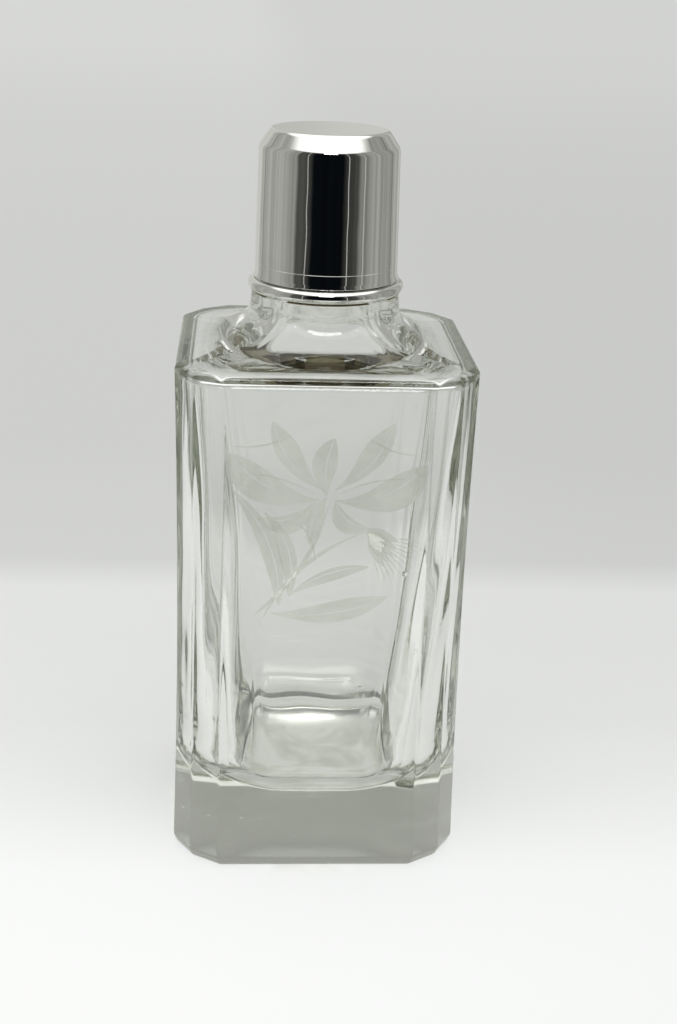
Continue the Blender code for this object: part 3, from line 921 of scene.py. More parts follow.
    def body_rows(self, plan: np.ndarray) -> np.ndarray:
        """Rows from near the middle of the underside, up the body, to the end of the shoulder's edge.

        Each row is the outline at the walls' top times the half width at its height. The shoulder's edge is a
        quarter of a circle.

        Args:
            plan: the eighth's outline at the top of the walls.

        Returns:
            Rows by columns by 3.
        """
        outline = self.all_round(plan) / (self.top_width / 2)
        wall_top = self.shoulder - self.edge_radius
        half = self.base_width / 2
        bevel = np.array([(0.6 * half, 0), (half - self.foot_inset, 0),
                          (half - 0.4 * self.foot_inset, 0.3 * self.foot_rise),
                          (half, self.foot_rise), (half, 2 * self.foot_rise)])
        bevel = softened(bevel, self.bevel_softness)[1:-1]
        share = np.concatenate((np.linspace(0, 0.06, 4), np.linspace(0.1, 1, 34)))
        height = self.foot_rise + (wall_top - self.foot_rise) * share
        clear = height > bevel[-1, 1] + 0.1 * MM
        turn = np.linspace(0, math.pi / 2, 10)[1:]
        underside = np.array([0.1, 0.25, 0.4]) * self.base_width / 2
        halves = np.concatenate((underside, bevel[:, 0], self.wall_half(share[clear]),
                                 self.top_width / 2 - self.edge_radius * (1 - np.cos(turn))))
        heights = np.concatenate((0 * underside, bevel[:, 1], height[clear],
                                  wall_top + self.edge_radius * np.sin(turn)))
        return self.raised(halves[:, None, None] * outline[None], heights)

    def mouth_rows(self, neck: np.ndarray, angle: np.ndarray) -> np.ndarray:
        """Rows from the neck over the ledge and up the mouth to the lip's top.

        They go from the neck's last section to a circle by a share called blend. The lip is softened.

        Args:
            neck: the neck's last section.
            angle: the eighth's directions at the neck.

        Returns:
            Rows by columns by 3.
        """
        ring = self.all_round(np.stack((np.cos(angle), np.sin(angle)), axis=-1))
        mouth = self.bore + self.mouth_wall
        ledge = self.ledge()
        lip_top = ledge + self.mouth_height
        drawn = self.neck_taper / self.neck_radius
        rows = []
        for blend, taper, drop in ((0.0, 0.6, 0.6 * self.neck_straight), (0.0, 0.9, 0.5 * MM),
                                   (0.02, 1.0, 0.15 * MM), (0.08, 1.0, 0.0), (0.4, 1.0, 0.0), (0.8, 1.0, 0.0),
                                   (1.0, 1.0, 0.0)):
            section = (1 - blend) * neck * (1 - drawn * taper) + blend * mouth * ring
            rows.append(np.column_stack((section, np.full(len(section), ledge - drop))))
        lip = softened(np.array([(mouth, ledge + 0.3 * MM), (mouth, lip_top), (self.bore, lip_top),
                                 (self.bore, lip_top - 5 * self.lip)]), self.lip)
        for radius, height in lip:
            rows.append(np.column_stack((radius * ring, np.full(len(ring), height))))
        return np.array(rows)

    def outer_rows(self) -> np.ndarray:
        """Rows from near the middle of the underside, up the outside and the neck, to the lip's top.

        Returns:
            Rows by columns by 3.
        """
        plan, angle = self.plan()
        turn = np.radians(np.concatenate((np.arange(87, 0, -3), [0])))
        neck = self.neck_rows(turn, plan, angle)
        sweep = self.raised(neck, self.shoulder + self.sweep_rise - self.sweep_rise * np.sin(turn))
        return np.concatenate((self.body_rows(plan), sweep, self.mouth_rows(neck[-1], angle)))

    def hollow_walls(self) -> Pair:
        """The heights of the foot and the top of the hollow's walls."""
        return self.floor + self.bowl_depth, self.shoulder - self.ceiling - self.ceiling_corner

    def hollow_line(self) -> np.ndarray:
        """The hollow's rows, from the bore over the flare, ceiling and walls to near the bowl's middle.

        The flare is a quarter of an ellipse and the ceiling's corner a quarter of a circle. The bowl is the
        power curve with the power called bowl_power. Roundness is 0 for a square section and 1 for a circle.

        Returns:
            Half width, height, corner radius and roundness, by rows.
        """
        bore_rows = 8
        floor_half = self.base_width / 2 - self.wall_at_floor
        top_half = self.top_width / 2 - self.wall_at_shoulder
        ceiling = self.shoulder - self.ceiling
        wall_foot, wall_top = self.hollow_walls()
        sweep = np.radians(np.concatenate((np.arange(0, 88, 3.0), [88.5])))
        turn = np.radians(np.linspace(90, 0, 12))
        across = np.linspace(0, 1, 12)[1:-1]
        flare_end = self.bore + self.inner_flare
        corner_start = top_half - self.ceiling_corner
        roof_half = np.concatenate((self.bore + self.inner_flare * (1 - np.cos(sweep)),
                                    flare_end + (corner_start - flare_end) * across,
                                    top_half - self.ceiling_corner * (1 - np.cos(turn))))
        roof_height = np.concatenate((ceiling + self.ceiling_slope + self.inner_rise * (1 - np.sin(sweep)),
                                      ceiling + self.ceiling_slope * (1 - across),
                                      wall_top + self.ceiling_corner * np.sin(turn)))
        squared = np.concatenate((np.sin(sweep) ** self.flare_power, np.ones(len(across) + len(turn))))
        bore_top = self.ledge() + self.mouth_height - 6 * self.lip
        share = np.linspace(1, 0, 30)[1:]
        bend = np.radians(90 * np.linspace(0, 1, 37)[1:-1] ** 1.5)
        bowl_share = np.cos(bend) ** (2 / self.bowl_power)
        half = np.concatenate((
            np.full(bore_rows, self.bore),
            roof_half,
            floor_half + (top_half - floor_half) * share,
            floor_half * bowl_share))
        height = np.concatenate((
            np.linspace(bore_top, roof_height[0] + 0.5 * MM, bore_rows),
            roof_height,
            wall_foot + (wall_top - wall_foot) * share,
            wall_foot - self.bowl_depth * np.sin(bend) ** (2 / self.bowl_power)))
        corner = np.concatenate((
            np.full(bore_rows, self.bore * 0.5),
            self.inner_corner_at_shoulder * roof_half / top_half,
            self.inner_corner_at_floor + (self.inner_corner_at_shoulder - self.inner_corner_at_floor) * share,
            self.inner_corner_at_floor * bowl_share))
        roundness = np.concatenate((
            np.ones(bore_rows),
            1 - squared,
            np.zeros(len(share)),
            self.bowl_roundness * (1 - bowl_share) ** self.bowl_rounding))
        return np.stack((half, height, corner, roundness))

    def ripples(self, direction: np.ndarray, fold: np.ndarray, z: np.ndarray) -> np.ndarray:
        """How far the hollow's walls move out: a hand-made waviness of a fraction of a millimetre.

        A slow ripple is a sum of sines in direction and height. The corners also have narrower upright folds:
        the sine of many times the direction, which drifts with height. Both fade at the walls' foot and top.

        Args:
            direction: each column's direction.
            fold: how far it is from the direction of the nearest face's middle.
            z: each row's height.

        Returns:
            Rows by columns.
        """
        wall_foot, wall_top = self.hollow_walls()
        fade = self.ripple_fade
        upright = np.clip((z - wall_foot) / fade, 0, 1) * np.clip((wall_top - z) / fade, 0, 1)
        wave = (np.sin(3 * direction + z * 55) * np.sin(z * 140 + 1.3)
                + 0.6 * np.sin(7 * direction - z * 90 + 2)
                + 0.4 * np.sin(11 * direction + z * 210))
        in_corner = np.clip((fold - self.fold_start) / self.fold_run, 0, 1)
        folds = np.sin(self.corner_folds * direction + 2.5 * np.sin(z * 33) + 4 * np.sin(2 * direction))
        return (self.ripple * wave + self.corner_ripple * folds * in_corner) * upright

    def inner_rows(self, columns: int) -> np.ndarray:
        """Rows from the bore down the hollow to near the middle of its floor.

        A section is a rounded square in even directions: half over the cosine on its flats and the farther
        crossing with the corner's circle between them. It is drawn to a circle by its roundness.

        Args:
            columns: how many columns the outside has.

        Returns:
            Rows by columns by 3.
        """
        direction = -math.pi / 4 + (np.arange(columns) + 1) * (2 * math.pi / columns)
        fold = np.abs((direction + math.pi / 4) % (math.pi / 2) - math.pi / 4)
        half, z, corner, roundness = self.hollow_line()[:, :, None]
        flat = half / np.cos(fold)
        middle = half - corner
        toward = middle * (np.cos(fold) + np.sin(fold))
        arc = toward + np.sqrt(np.maximum(toward**2 - 2 * middle**2 + corner**2, 0))
        radius = np.where(half * np.tan(fold) > middle, arc, flat)
        radius = (1 - roundness) * radius + roundness * half
        radius = radius + self.ripples(direction, fold, z)
        LOG.info("hollow: %d rows of %d columns", len(z), columns)
        return turned(radius, direction, z)

    def build(self) -> bpy.types.Object:
        """Builds the glass as one closed surface, outside and inside.

        Returns:
            The object.
        """
        outside = self.outer_rows()
        inside = self.inner_rows(outside.shape[1])
        return grid_mesh("bottle_glass", np.concatenate((outside, inside)), (True, True))

    def bed(self, glass: bpy.types.Object, material: bpy.types.Material) -> None:
        """Gives the glass that plaster wets, in four dabs, a second material.

        Args:
            glass: the finished glass.
            material: the look of glass with plaster behind it.
        """
        glass.data.materials.append(material)
        count = len(glass.data.polygons)
        centres = np.empty(count * 3)
        glass.data.polygons.foreach_get("center", centres)
        x, y, z = centres.reshape(-1, 3).T
        out = np.hypot(x, y)
        ledge = self.ledge()
        fold = np.abs((np.arctan2(y, x) + math.pi / 4) % (math.pi / 2) - math.pi / 4)
        bedded = (z > ledge - 0.1 * MM) & (z < ledge + self.mouth_height - self.lip)
        bedded &= (out > self.bore + 0.6 * self.mouth_wall) & (fold < self.bedded_half)
        glass.data.polygons.foreach_set("material_index", bedded.astype(np.int32))

    def face_distance(self, height: np.ndarray) -> np.ndarray:
        """How far the middle of a face is from the axis at a height."""
        wall_top = self.shoulder - self.edge_radius
        return self.wall_half((height - self.foot_rise) / (wall_top - self.foot_rise))


@dataclass
class Spray:
    """A common engraved spray on the front face: stems with long leaves, an open bloom and a bristled bud."""

    bottle: Bottle
    clear: float = 0.02 * MM
    thick: float = 0.03 * MM
    midrib: float = 0.3 * MM

    def patches(self, rows: list[tuple[float, ...]], steps: int = 19) -> np.ndarray:
        """Flat matt patches along curved lines on the face.

        A patch's line is the quadratic curve from its start to its end, drawn aside by its bow. The patch
        reaches across it from one offset to another, both times the sine of pi s to the power k, which is
        nought at both ends and fullest past the middle where k is over 1.

        Args:
            rows: start x and z, end x and z, bow, right offset, left offset and k, lengths in millimetres.
            steps: points along a patch.

        Returns:
            Patches by steps by 4 by 3.
        """
        values = np.array(rows)
        start, end = values[:, None, 0:2] * MM, values[:, None, 2:4] * MM
        chord = end - start
        left = np.stack((-chord[..., 1], chord[..., 0]), axis=-1)
        left = left / np.linalg.norm(left, axis=-1, keepdims=True)
        control = (start + end) / 2 + left * values[:, None, 4:5] * MM
        s = np.linspace(0.012, 0.988, steps)[None, :, None]
        line = curve(start, control, end, s)
        slope = (1 - s) * (control - start) + s * (end - control)
        slope = slope / np.linalg.norm(slope, axis=-1, keepdims=True)
        across = np.stack((-slope[..., 1], slope[..., 0]), axis=-1)
        bow = np.sin(math.pi * s[..., 0] ** values[:, 7:8]) ** 0.85
        sides = values[:, None, [5, 6, 6, 5]] * bow[..., None] * MM
        place = line[:, :, None] + across[:, :, None] * sides[..., None]
        deep = self.thick * np.array([0.5, 0.5, -0.5, -0.5])
        y = -self.bottle.face_distance(place[..., 1]) - self.clear - self.thick / 2 - deep
        return np.stack((place[..., 0], y, place[..., 1]), axis=-1)

    def leaf(self, base: Pair, tip: Pair, bow: float, right: float,
             left: float, fullest: float = 1.0) -> list[tuple[float, ...]]:
        """One leaf or petal: two matt halves with a clear midrib between them."""
        rib = self.midrib / MM / 2
        return [(*base, *tip, bow, -right, -rib, fullest), (*base, *tip, bow, rib, left, fullest)]

    def build(self) -> bpy.types.Object:
        """Builds the whole spray as one piece of many small closed patches.

        Returns:
            The object.
        """
        rows = []
        for leaf in (((-14, 95), (-29, 134), -9, 2.4, 3.2, 0.9), ((-11, 98), (-19, 127), -8, 2.0, 3.2, 0.95),
                     ((-17, 93), (20, 99), -6, 3.4, 4.0, 1.35), ((-11, 99), (14, 109), 5, 2.8, 1.4, 1.2),
                     ((-2, 131), (-30, 146), 8, 4.4, 6.2, 1.5), ((2, 131), (30, 143), -9, 6.4, 4.2, 1.55),
                     ((-1, 134), (-17, 156), 6, 4.8, 2.4, 1.45), ((2, 134), (20, 156), -6, 2.4, 5.0, 1.45),
                     ((0, 132), (2, 151), 3, 3.2, 4.4, 1.25), ((-3, 131), (-21, 125), 7, 1.6, 4.6, 1.2),
                     ((3, 131), (13, 122), -5, 4.2, 1.4, 1.1), ((0, 132), (-5, 116), -3, 1.8, 3.0, 1.1)):
            rows += self.leaf(*leaf)
        rows += [(-22, 92, 1, 131, -8, -0.75, 0.75, 0.8), (-19, 91, 13, 121, 9, -0.65, 0.65, 0.8),
                 (-3, 110, -9, 124, -3, -0.4, 0.4, 1.0), (-9, 124, -4, 128, 2, -0.35, 0.35, 1.0),
                 (-29, 148, -9, 153, -4, -0.3, 0.3, 1.0), (29, 146, 11, 152, 4, -0.3, 0.3, 1.0),
                 (-24, 139, -4, 133, 3, -0.25, 0.25, 1.0), (24, 138, 4, 133, -3, -0.25, 0.25, 1.0)]
        bud = np.array([13, 120])
        for angle in np.radians((-66, -54, -42, -30, -18)):
            reach = np.array([math.cos(angle), math.sin(angle)])
            side = 2.4 * math.sin(angle + math.radians(42))
            start = bud + np.array([-side, side])
            rows.append((*start, *(start + 11 * reach), 0.6 * side, -1.9, 1.9, 0.8))
        for angle in np.radians(np.arange(-76, -4, 6)):
            reach = np.array([math.cos(angle), math.sin(angle)])
            rows.append((*(bud + 9 * reach), *(bud + 18 * reach), 0.8, -0.2, 0.2, 0.6))
        patches = self.patches(rows)
        count, steps, sides = patches.shape[:3]
        index = np.arange(count * steps * sides).reshape(count, steps, sides)
        around = np.roll(index, -1, axis=2)
        quads = np.stack((index[:, :-1], around[:, :-1], around[:, 1:], index[:, 1:]), axis=-1).reshape(-1, 4)
        caps = np.concatenate((index[:, 0, ::-1], index[:, -1]))
        mesh = bpy.data.meshes.new("engraved_spray")
        mesh.from_pydata(patches.reshape(-1, 3).tolist(), [], quads.tolist() + caps.tolist())
        return place_mesh(mesh)


# The silver and the stopper.


@dataclass
class Mount:
    """The bedding, the collar and the ring on the neck."""

    gap: float = 0.3 * MM
    foot: float = 186.1 * MM
    glass_top: float = 206.0 * MM
    mouth: float = 18.7 * MM
    cement: float = 0.6 * MM
    wall: float = 0.7 * MM
    lip_inner: float = 14.6 * MM
    ring_height: float = 4.0 * MM
    ring_centre: float = 22.8 * MM
    bedding_softness: float = 0.1 * MM
    collar_softness: float = 0.4 * MM
    ring_softness: float = 0.08 * MM
    ring_columns: int = 240

    def collar_outer(self) -> float:
        """The collar's outside radius."""
        return self.mouth + 2 * self.gap + self.cement + self.wall

    def build(self, finishes: Finishes) -> None:
        """Builds and dresses the three pieces.

        Args:
            finishes: the object's materials.
        """
        inner = self.mouth + self.gap
        outer = inner + self.cement
        under_lip = self.glass_top + self.gap
        section = tube(outer, inner, self.foot, self.glass_top)
        bedding = Turning("bedding", section, self.bedding_softness)
        finishes.dress(bedding.build(), Slot.PLASTER, Body.BOTTLE, "collar_cement")
        sleeve = outer + self.gap
        outside = self.collar_outer()
        top = under_lip + self.wall
        section = [(outside, self.foot), (outside, top), (self.lip_inner, top), (self.lip_inner, under_lip),
                   (sleeve, under_lip), (sleeve, self.foot)]
        collar = Turning("collar", section, self.collar_softness)
        finishes.dress(collar.build(), Slot.SILVER, Body.BOTTLE, "neck_collar")
        inside = outside + self.gap
        half = self.ring_height / 2
        turn = np.radians(np.linspace(-90, 90, 21))
        bead = zip(self.ring_centre + half * np.cos(turn), self.foot + half + half * np.sin(turn))
        line = [(inside, self.foot), *bead, (inside, self.foot + self.ring_height)]
        ring = Turning("ring", line, self.ring_softness, columns=self.ring_columns)
        finishes.dress(ring.build(), Slot.SILVER, Body.BOTTLE, "collar_ring")


@dataclass
class Cap:
    """The jigger and the sleeve inside its mouth."""

    foot: float = 190.4 * MM
    height: float = 46.0 * MM
    wall: float = 0.8 * MM
    top: float = 1.1 * MM
    foot_radius: float = 22.8 * MM
    draft: float = 0.75 * MM
    bevel_drop: float = 5.4 * MM
    bevel_inset: float = 3.65 * MM
    flare: float = 0.45 * MM
    flare_height: float = 1.6 * MM
    line_height: float = 4.3 * MM
    line_width: float = 0.5 * MM
    line_depth: float = 0.07 * MM
    lining_inner: float = 20.9 * MM
    lining_wall: float = 0.45 * MM
    lining_height: float = 12.5 * MM
    gap: float = 0.3 * MM
    outer_softness: float = 1.1 * MM
    inner_softness: float = 0.9 * MM
    lining_softness: float = 0.15 * MM
    columns: int = 256

    def radius(self, height: float) -> float:
        """The wall's outside radius at a height above the foot."""
        return self.foot_radius - self.draft * height / (self.height - self.bevel_drop)

    def build(self, finishes: Finishes) -> None:
        """Builds and dresses both pieces.

        Args:
            finishes: the object's materials.
        """
        shoulder = self.height - self.bevel_drop
        flat = self.radius(shoulder) - self.bevel_inset
        low = self.line_height - self.line_width / 2
        high = self.line_height + self.line_width / 2
        inner_shoulder = shoulder - self.top / 2
        line = [
            (self.foot_radius - self.wall, 0.0),
            (self.foot_radius + self.flare * 0.4, 0.0),
            (self.foot_radius + self.flare, self.flare * 0.6),
            (self.foot_radius + self.flare * 0.6, self.flare_height * 0.5),
            (self.radius(self.flare_height), self.flare_height),
            (self.radius(low), low),
            (self.radius(self.line_height) - self.line_depth, self.line_height),
            (self.radius(high), high),
            (self.radius(shoulder), shoulder),
            (flat, self.height),
            (0.0, self.height)]
        inside = [(0.0, self.height - self.top), (flat - self.wall, self.height - self.top),
                  (self.radius(inner_shoulder) - self.wall, inner_shoulder)]
        outer = self.sided(line, self.outer_softness)
        inner = self.sided([*inside, (self.foot_radius - self.wall, 0.0)], self.inner_softness)
        rows = np.concatenate((inner[:-1], outer))
        rows = rows[rows[:, 0] > 1e-7] + np.array([0.0, self.foot])
        points = turned(rows[:, :1], directions(self.columns), rows[:, 1:])
        cap = grid_mesh("cap_silver", points, (True, True))
        finishes.dress(cap, Slot.SILVER, Body.CAP, "jigger_cap")
        foot = self.foot + self.gap
        bore = self.lining_inner
        section = tube(bore + self.lining_wall, bore, foot, foot + self.lining_height)
        lining = Turning("lining", section, self.lining_softness)
        finishes.dress(lining.build(), Slot.LINING, Body.CAP, "cap_lining")

    @staticmethod
    def sided(line: list[Pair], softness: float) -> np.ndarray:
        """One side of the cup as a softened and divided line."""
        return divided(softened(np.array(line), softness, steps=9), 1.5 * MM)


@dataclass
class Stopper:
    """The cork, its head, and the pin, washer and nut that hold them together."""

    gap: float = 0.3 * MM
    head_foot: float = 207.3 * MM
    head_radius: float = 16.0 * MM
    head_thick: float = 2.0 * MM
    grip_radius: float = 5.5 * MM
    grip_waist: float = 3.4 * MM
    grip_height: float = 4.6 * MM
    cork_length: float = 16.0 * MM
    cork_radius: float = 13.7 * MM
    cork_taper: float = 1.3 * MM
    pin_radius: float = 1.5 * MM
    socket: float = 2.6 * MM
    washer: Pair = (5.2 * MM, 0.8 * MM)
    nut: Pair = (3.3 * MM, 2.2 * MM)
    pin_end: float = 0.7 * MM
    thread_pitch: float = 0.5 * MM
    thread_length: float = 6.5 * MM
    thread_depth: float = 0.11 * MM
    cork_softness: float = 0.7 * MM
    head_softness: float = 0.6 * MM
    washer_softness: float = 0.2 * MM
    columns: int = 96
    pin_columns: int = 48
    pin_rows: int = 260

    def build(self, finishes: Finishes) -> None:
        """Builds and dresses the five pieces.

        Args:
            finishes: the object's materials.
        """
        hole = self.pin_radius + self.gap
        top = self.head_foot - self.gap
        foot = top - self.cork_length
        cork = Turning("cork_body", [(self.cork_radius - self.cork_taper, foot), (self.cork_radius, top),
                                     (hole, top), (hole, foot)], self.cork_softness, self.columns)
        finishes.dress(cork.build(), Slot.CORK, Body.STOPPER, "cork")
        head_top = self.head_foot + self.head_thick
        grip_top = head_top + self.grip_height
        knob = grip_top - self.grip_height / 3
        head = Turning("head", [(0.0, self.head_foot + self.socket), (hole, self.head_foot + self.socket),
                                (hole, self.head_foot), (self.head_radius, self.head_foot),
                                (self.head_radius, head_top), (self.grip_waist + 0.6 * MM, head_top),
                                (self.grip_waist, head_top + self.grip_height / 4),
                                (self.grip_radius, knob - 0.6 * MM), (self.grip_radius, knob + 0.6 * MM),
                                (self.grip_radius * 0.6, grip_top), (0.0, grip_top)], self.head_softness)
        finishes.dress(head.build(), Slot.SILVER, Body.STOPPER, "stopper_head")
        washer_top = foot - self.gap
        washer_foot = washer_top - self.washer[1]
        section = tube(self.washer[0], hole, washer_foot, washer_top)
        washer = Turning("washer", section, self.washer_softness, self.columns)
        finishes.dress(washer.build(), Slot.STEEL, Body.STOPPER, "stopper_washer")
        nut_top = washer_foot - self.gap
        nut_foot = nut_top - self.nut[1]
        finishes.dress(self.build_nut(nut_foot, nut_top, hole), Slot.STEEL, Body.STOPPER, "stopper_nut")
        finishes.dress(self.build_pin(nut_foot - self.pin_end), Slot.STEEL, Body.STOPPER, "stopper_pin")

    def build_nut(self, foot: float, top: float, hole: float) -> bpy.types.Object:
        """The nut: a six-sided outline, half over the cosine of the direction from a flat, with turned ends.

        Args:
            foot: the height of its foot.
            top: the height of its top.
            hole: its hole's radius.

        Returns:
            The object.
        """
        angle = directions(self.columns)
        fold = np.abs((angle + math.pi / 6) % (math.pi / 3) - math.pi / 6)
        flat = self.nut[0] * math.cos(math.pi / 6)
        sides = flat / np.cos(math.pi / 6 - fold)
        chamfer = np.array([0.2, 0.06, 0.0, 0.0, 0.0, 0.06, 0.2]) * MM
        height = np.array([foot, foot + 0.12 * MM, foot + 0.35 * MM, (foot + top) / 2, top - 0.35 * MM,
                           top - 0.12 * MM, top])
        limit = self.nut[0] - np.array([0.45, 0.2, 0.02, 0.0, 0.02, 0.2, 0.45])[:, None] * MM
        outer = np.minimum(sides[None] - chamfer[:, None] * 0.2, limit)
        inner_height = np.array([top, top - 0.3 * MM, foot + 0.3 * MM, foot])
        wide = hole + 0.1 * MM
        inner = np.broadcast_to(np.array([wide, hole, hole, wide])[:, None], (4, self.columns))
        radius = np.concatenate((outer, inner))
        z = np.concatenate((height, inner_height))[:, None]
        return grid_mesh("nut", turned(radius, angle, z), loop=True)

    def build_pin(self, foot: float) -> bpy.types.Object:
        """The pin: a rod whose lowest part has a thread, a ripple in height that winds once a turn.

        Args:
            foot: the height of its foot.

        Returns:
            The object.
        """
        angle = directions(self.pin_columns)
        top = self.head_foot + self.socket - self.gap
        z = np.linspace(foot, top, self.pin_rows)[:, None]
        pitch = self.thread_pitch
        run_out = (foot + self.thread_length - z) / pitch
        threaded = np.clip(run_out, 0, 1) * np.clip((z - foot) / (0.6 * MM), 0, 1)
        groove = self.thread_depth * (0.5 - 0.5 * np.cos(2 * math.pi * z / pitch + angle)) * threaded
        ends = np.clip((z - foot) / (0.3 * MM), 0.75, 1) * np.clip((top - z) / (0.3 * MM), 0.85, 1)
        radius = (self.pin_radius - groove) * ends
        return grid_mesh("pin", turned(radius, angle, z), (True, True))


# The studio.


@dataclass
class Studio:
    """The floor, the surroundings and the camera.

    Greys and colours are linear. A pair of places or heights is where a change starts and where it ends. A
    glow is the part of the paper's own colour that a ray sees without the light that falls on it. Through
    rays are those that came through glass. They see the bottle's shade on the paper behind it, and farther
    out than beside and farther back than beside_from they see the room.
    """

    effects: Effects
    camera_place: Triple = (-26.8 * MM, -486.1 * MM, 294.7 * MM)
    camera_pitch: float = math.radians(20.81)
    camera_yaw: float = math.radians(3.97)
    camera_roll: float = math.radians(2.13)
    camera_lens: float = 54.16
    floor_half: float = 20.0
    floor_drop: float = 0.2 * MM
    paper_along: Pair = (-0.1, 0.4)
    # Painted shade: the paper's greys darken towards the back.
    paper_greys: tuple[Pair, ...] = ((0.0, 0.97), (0.1, 0.96), (0.2, 0.88), (0.31, 0.8), (0.46, 0.77),
                                     (0.57, 0.76), (0.64, 0.64), (1.0, 0.61))
    paper_tone: Triple = (0.99, 1.003, 0.992)
    paper_palest: Triple = (0.97, 0.98, 0.97)
    paper_edge: Pair = (0.34, 0.38)
    # Painted shade on the right and painted light far off.
    right: Pair = (-0.05, 0.2)
    right_painted_shade: float = 0.95
    far: Pair = (0.4, 4.0)
    far_painted_light: float = 1.1
    paper_glow: float = 0.45
    front_glow: float = 0.86
    glow_in_glass: Pair = (-0.062, -0.049)
    glow_in_air: Pair = (-0.056, 0.03)
    under_glow: float = 0.6
    under_edge: Pair = (0.035, 0.055)
    # Painted caustic shade and light under the bottle: the darkest and brightest factors of its noise
    # patches.
    painted_shade_under_bottle: Colour = (0.86, 0.86, 0.8, 1.0)
    painted_caustic_light_under_bottle: Colour = (1.2, 1.2, 1.14, 1.0)
    shade: float = 0.14
    shade_near: Pair = (0.04, 0.07)
    shade_far: Pair = (0.25, 0.42)
    shade_side: Pair = (0.06, 0.11)
    beside: Pair = (0.22, 0.25)
    beside_from: Pair = (0.12, 0.18)
    far_grey: Colour = (0.62, 0.6262, 0.62, 1.0)
    front_walls: Colour = (0.1, 0.103, 0.1, 1.0)
    back_walls: Colour = (0.45, 0.45, 0.432, 1.0)
    walls_change: Pair = (-0.9, 0.8)
    lamp: Colour = (1.5, 1.5, 1.48, 1.0)
    lamp_in_glass: Colour = (1.3, 1.3, 1.3, 1.0)
    lamp_edge: Pair = (0.55, 0.68)
    lamp_lift: float = 0.12
    panel: Colour = (9.0, 9.0, 9.0, 1.0)
    panel_middle: float = 0.73
    panel_tall: Pair = (0.05, 0.07)
    panel_wide: Pair = (0.2, 0.24)

    def build(self) -> None:
        """Builds the studio."""
        self.build_floor()
        self.build_world()
        self.build_camera()

    def build_floor(self) -> None:
        """A pale floor whose colour holds painted shade and painted caustic light. Mirrors, and through rays
        far behind on either side, see the room round it.
        """
        half = self.floor_half
        z = -self.floor_drop
        mesh = bpy.data.meshes.new("floor")
        mesh.from_pydata([(-half, -half, z), (half, -half, z), (half, half, z), (-half, half, z)], [],
                         [(0, 1, 2, 3)])
        floor = place_mesh(mesh)
        material, bench, shader, place = new_material("pale_paper")
        x, y, _ = bench.split(place)
        side = bench.math("ABSOLUTE", x)
        out = bench.add("ShaderNodeVectorMath", {0: place}, operation="LENGTH").outputs["Value"]
        through = bench.ray("Transmission")
        under = bench.spread(out, *self.under_edge, 1.0, 0.0)
        colour = self.paper_colour(bench, place, through, under)
        bench.join(colour, shader.inputs["Base Color"])
        shader.inputs["Roughness"].default_value = 0.9
        shader.inputs["Specular IOR Level"].default_value = 0.1
        pale = bench.add("ShaderNodeEmission", {"Color": colour})
        paper = bench.add("ShaderNodeMixShader", {0: self.glow(bench, y, through, under),
                                                  1: shader.outputs[0], 2: pale.outputs[0]})
        room = bench.add("ShaderNodeGroup", {"Vector": place}, node_tree=self.effects.room)
        bright = bench.add("ShaderNodeEmission", {"Color": room.outputs[0]})
        beyond = bench.spread(out, *self.paper_edge, 0.0, 1.0)
        mirrored = bench.product(beyond, self.mirror_rays(bench))
        beside = bench.product(bench.spread(side, *self.beside, 0.0, 1.0),
                               bench.spread(y, *self.beside_from, 0.0, 1.0), through)
        mixed = bench.add("ShaderNodeMixShader", {0: bench.math("MAXIMUM", mirrored, beside),
                                                  1: paper.outputs[0], 2: bright.outputs[0]})
        bench.join(mixed.outputs[0], material.node_tree.nodes["Material Output"].inputs["Surface"])
        mesh.materials.append(material)

    def paper_colour(self, bench: Bench, place: bpy.types.NodeSocket, through: bpy.types.NodeSocket,
                     under: bpy.types.NodeSocket) -> bpy.types.NodeSocket:
        """The paper's colour: greys by the distance along Y, painted shade that darkens it towards the back,
        with painted shade on the right and painted light far off.

        Under the bottle it has painted caustic light and shade in noise patches, and through rays see it in
        the bottle's painted shade just behind.

        Args:
            bench: the floor's bench.
            place: the Object coordinates.
            through: 1 for through rays.
            under: 1 under the bottle.

        Returns:
            The colour.
        """
        x, y, _ = bench.split(place)
        # The greys are painted shade: the paper darkens towards the back.
        along = bench.spread(y, *self.paper_along, 0.0, 1.0, smooth=False)
        ramp = bench.add("ShaderNodeValToRGB", {0: along})
        Effects.fill_ramp(ramp, [(spot, tuple(grey * part for part in self.paper_tone))
                                 for spot, grey in self.paper_greys])
        # Painted shade on the right and painted light far off.
        level = bench.product(bench.spread(x, *self.right, 1.0, self.right_painted_shade),
                              bench.spread(y, *self.far, 1.0, self.far_painted_light))
        near = bench.product(bench.spread(y, *self.shade_near, 0.0, 1.0),
                             bench.spread(y, *self.shade_far, 1.0, 0.0))
        behind = bench.spread(bench.math("ABSOLUTE", x), *self.shade_side, self.shade, 0.0)
        shade = bench.product(behind, near, through)
        level = bench.product(level, bench.rest(shade))
        colour = bench.vector("MULTIPLY", ramp.outputs[0], bench.level(level))
        # Painted caustic light and shade under the bottle: noise patches make the paper darker or brighter
        # there.
        painted_caustic_mottles = self.effects.place(bench, self.effects.clouds, place, scale=55.0, low=0.35, high=0.65)
        light = bench.blend(painted_caustic_mottles, self.painted_shade_under_bottle, self.painted_caustic_light_under_bottle)
        colour = bench.vector("MULTIPLY", colour, bench.blend(under, (1.0, 1.0, 1.0, 1.0), light))
        return bench.vector("MINIMUM", colour, self.paper_palest)

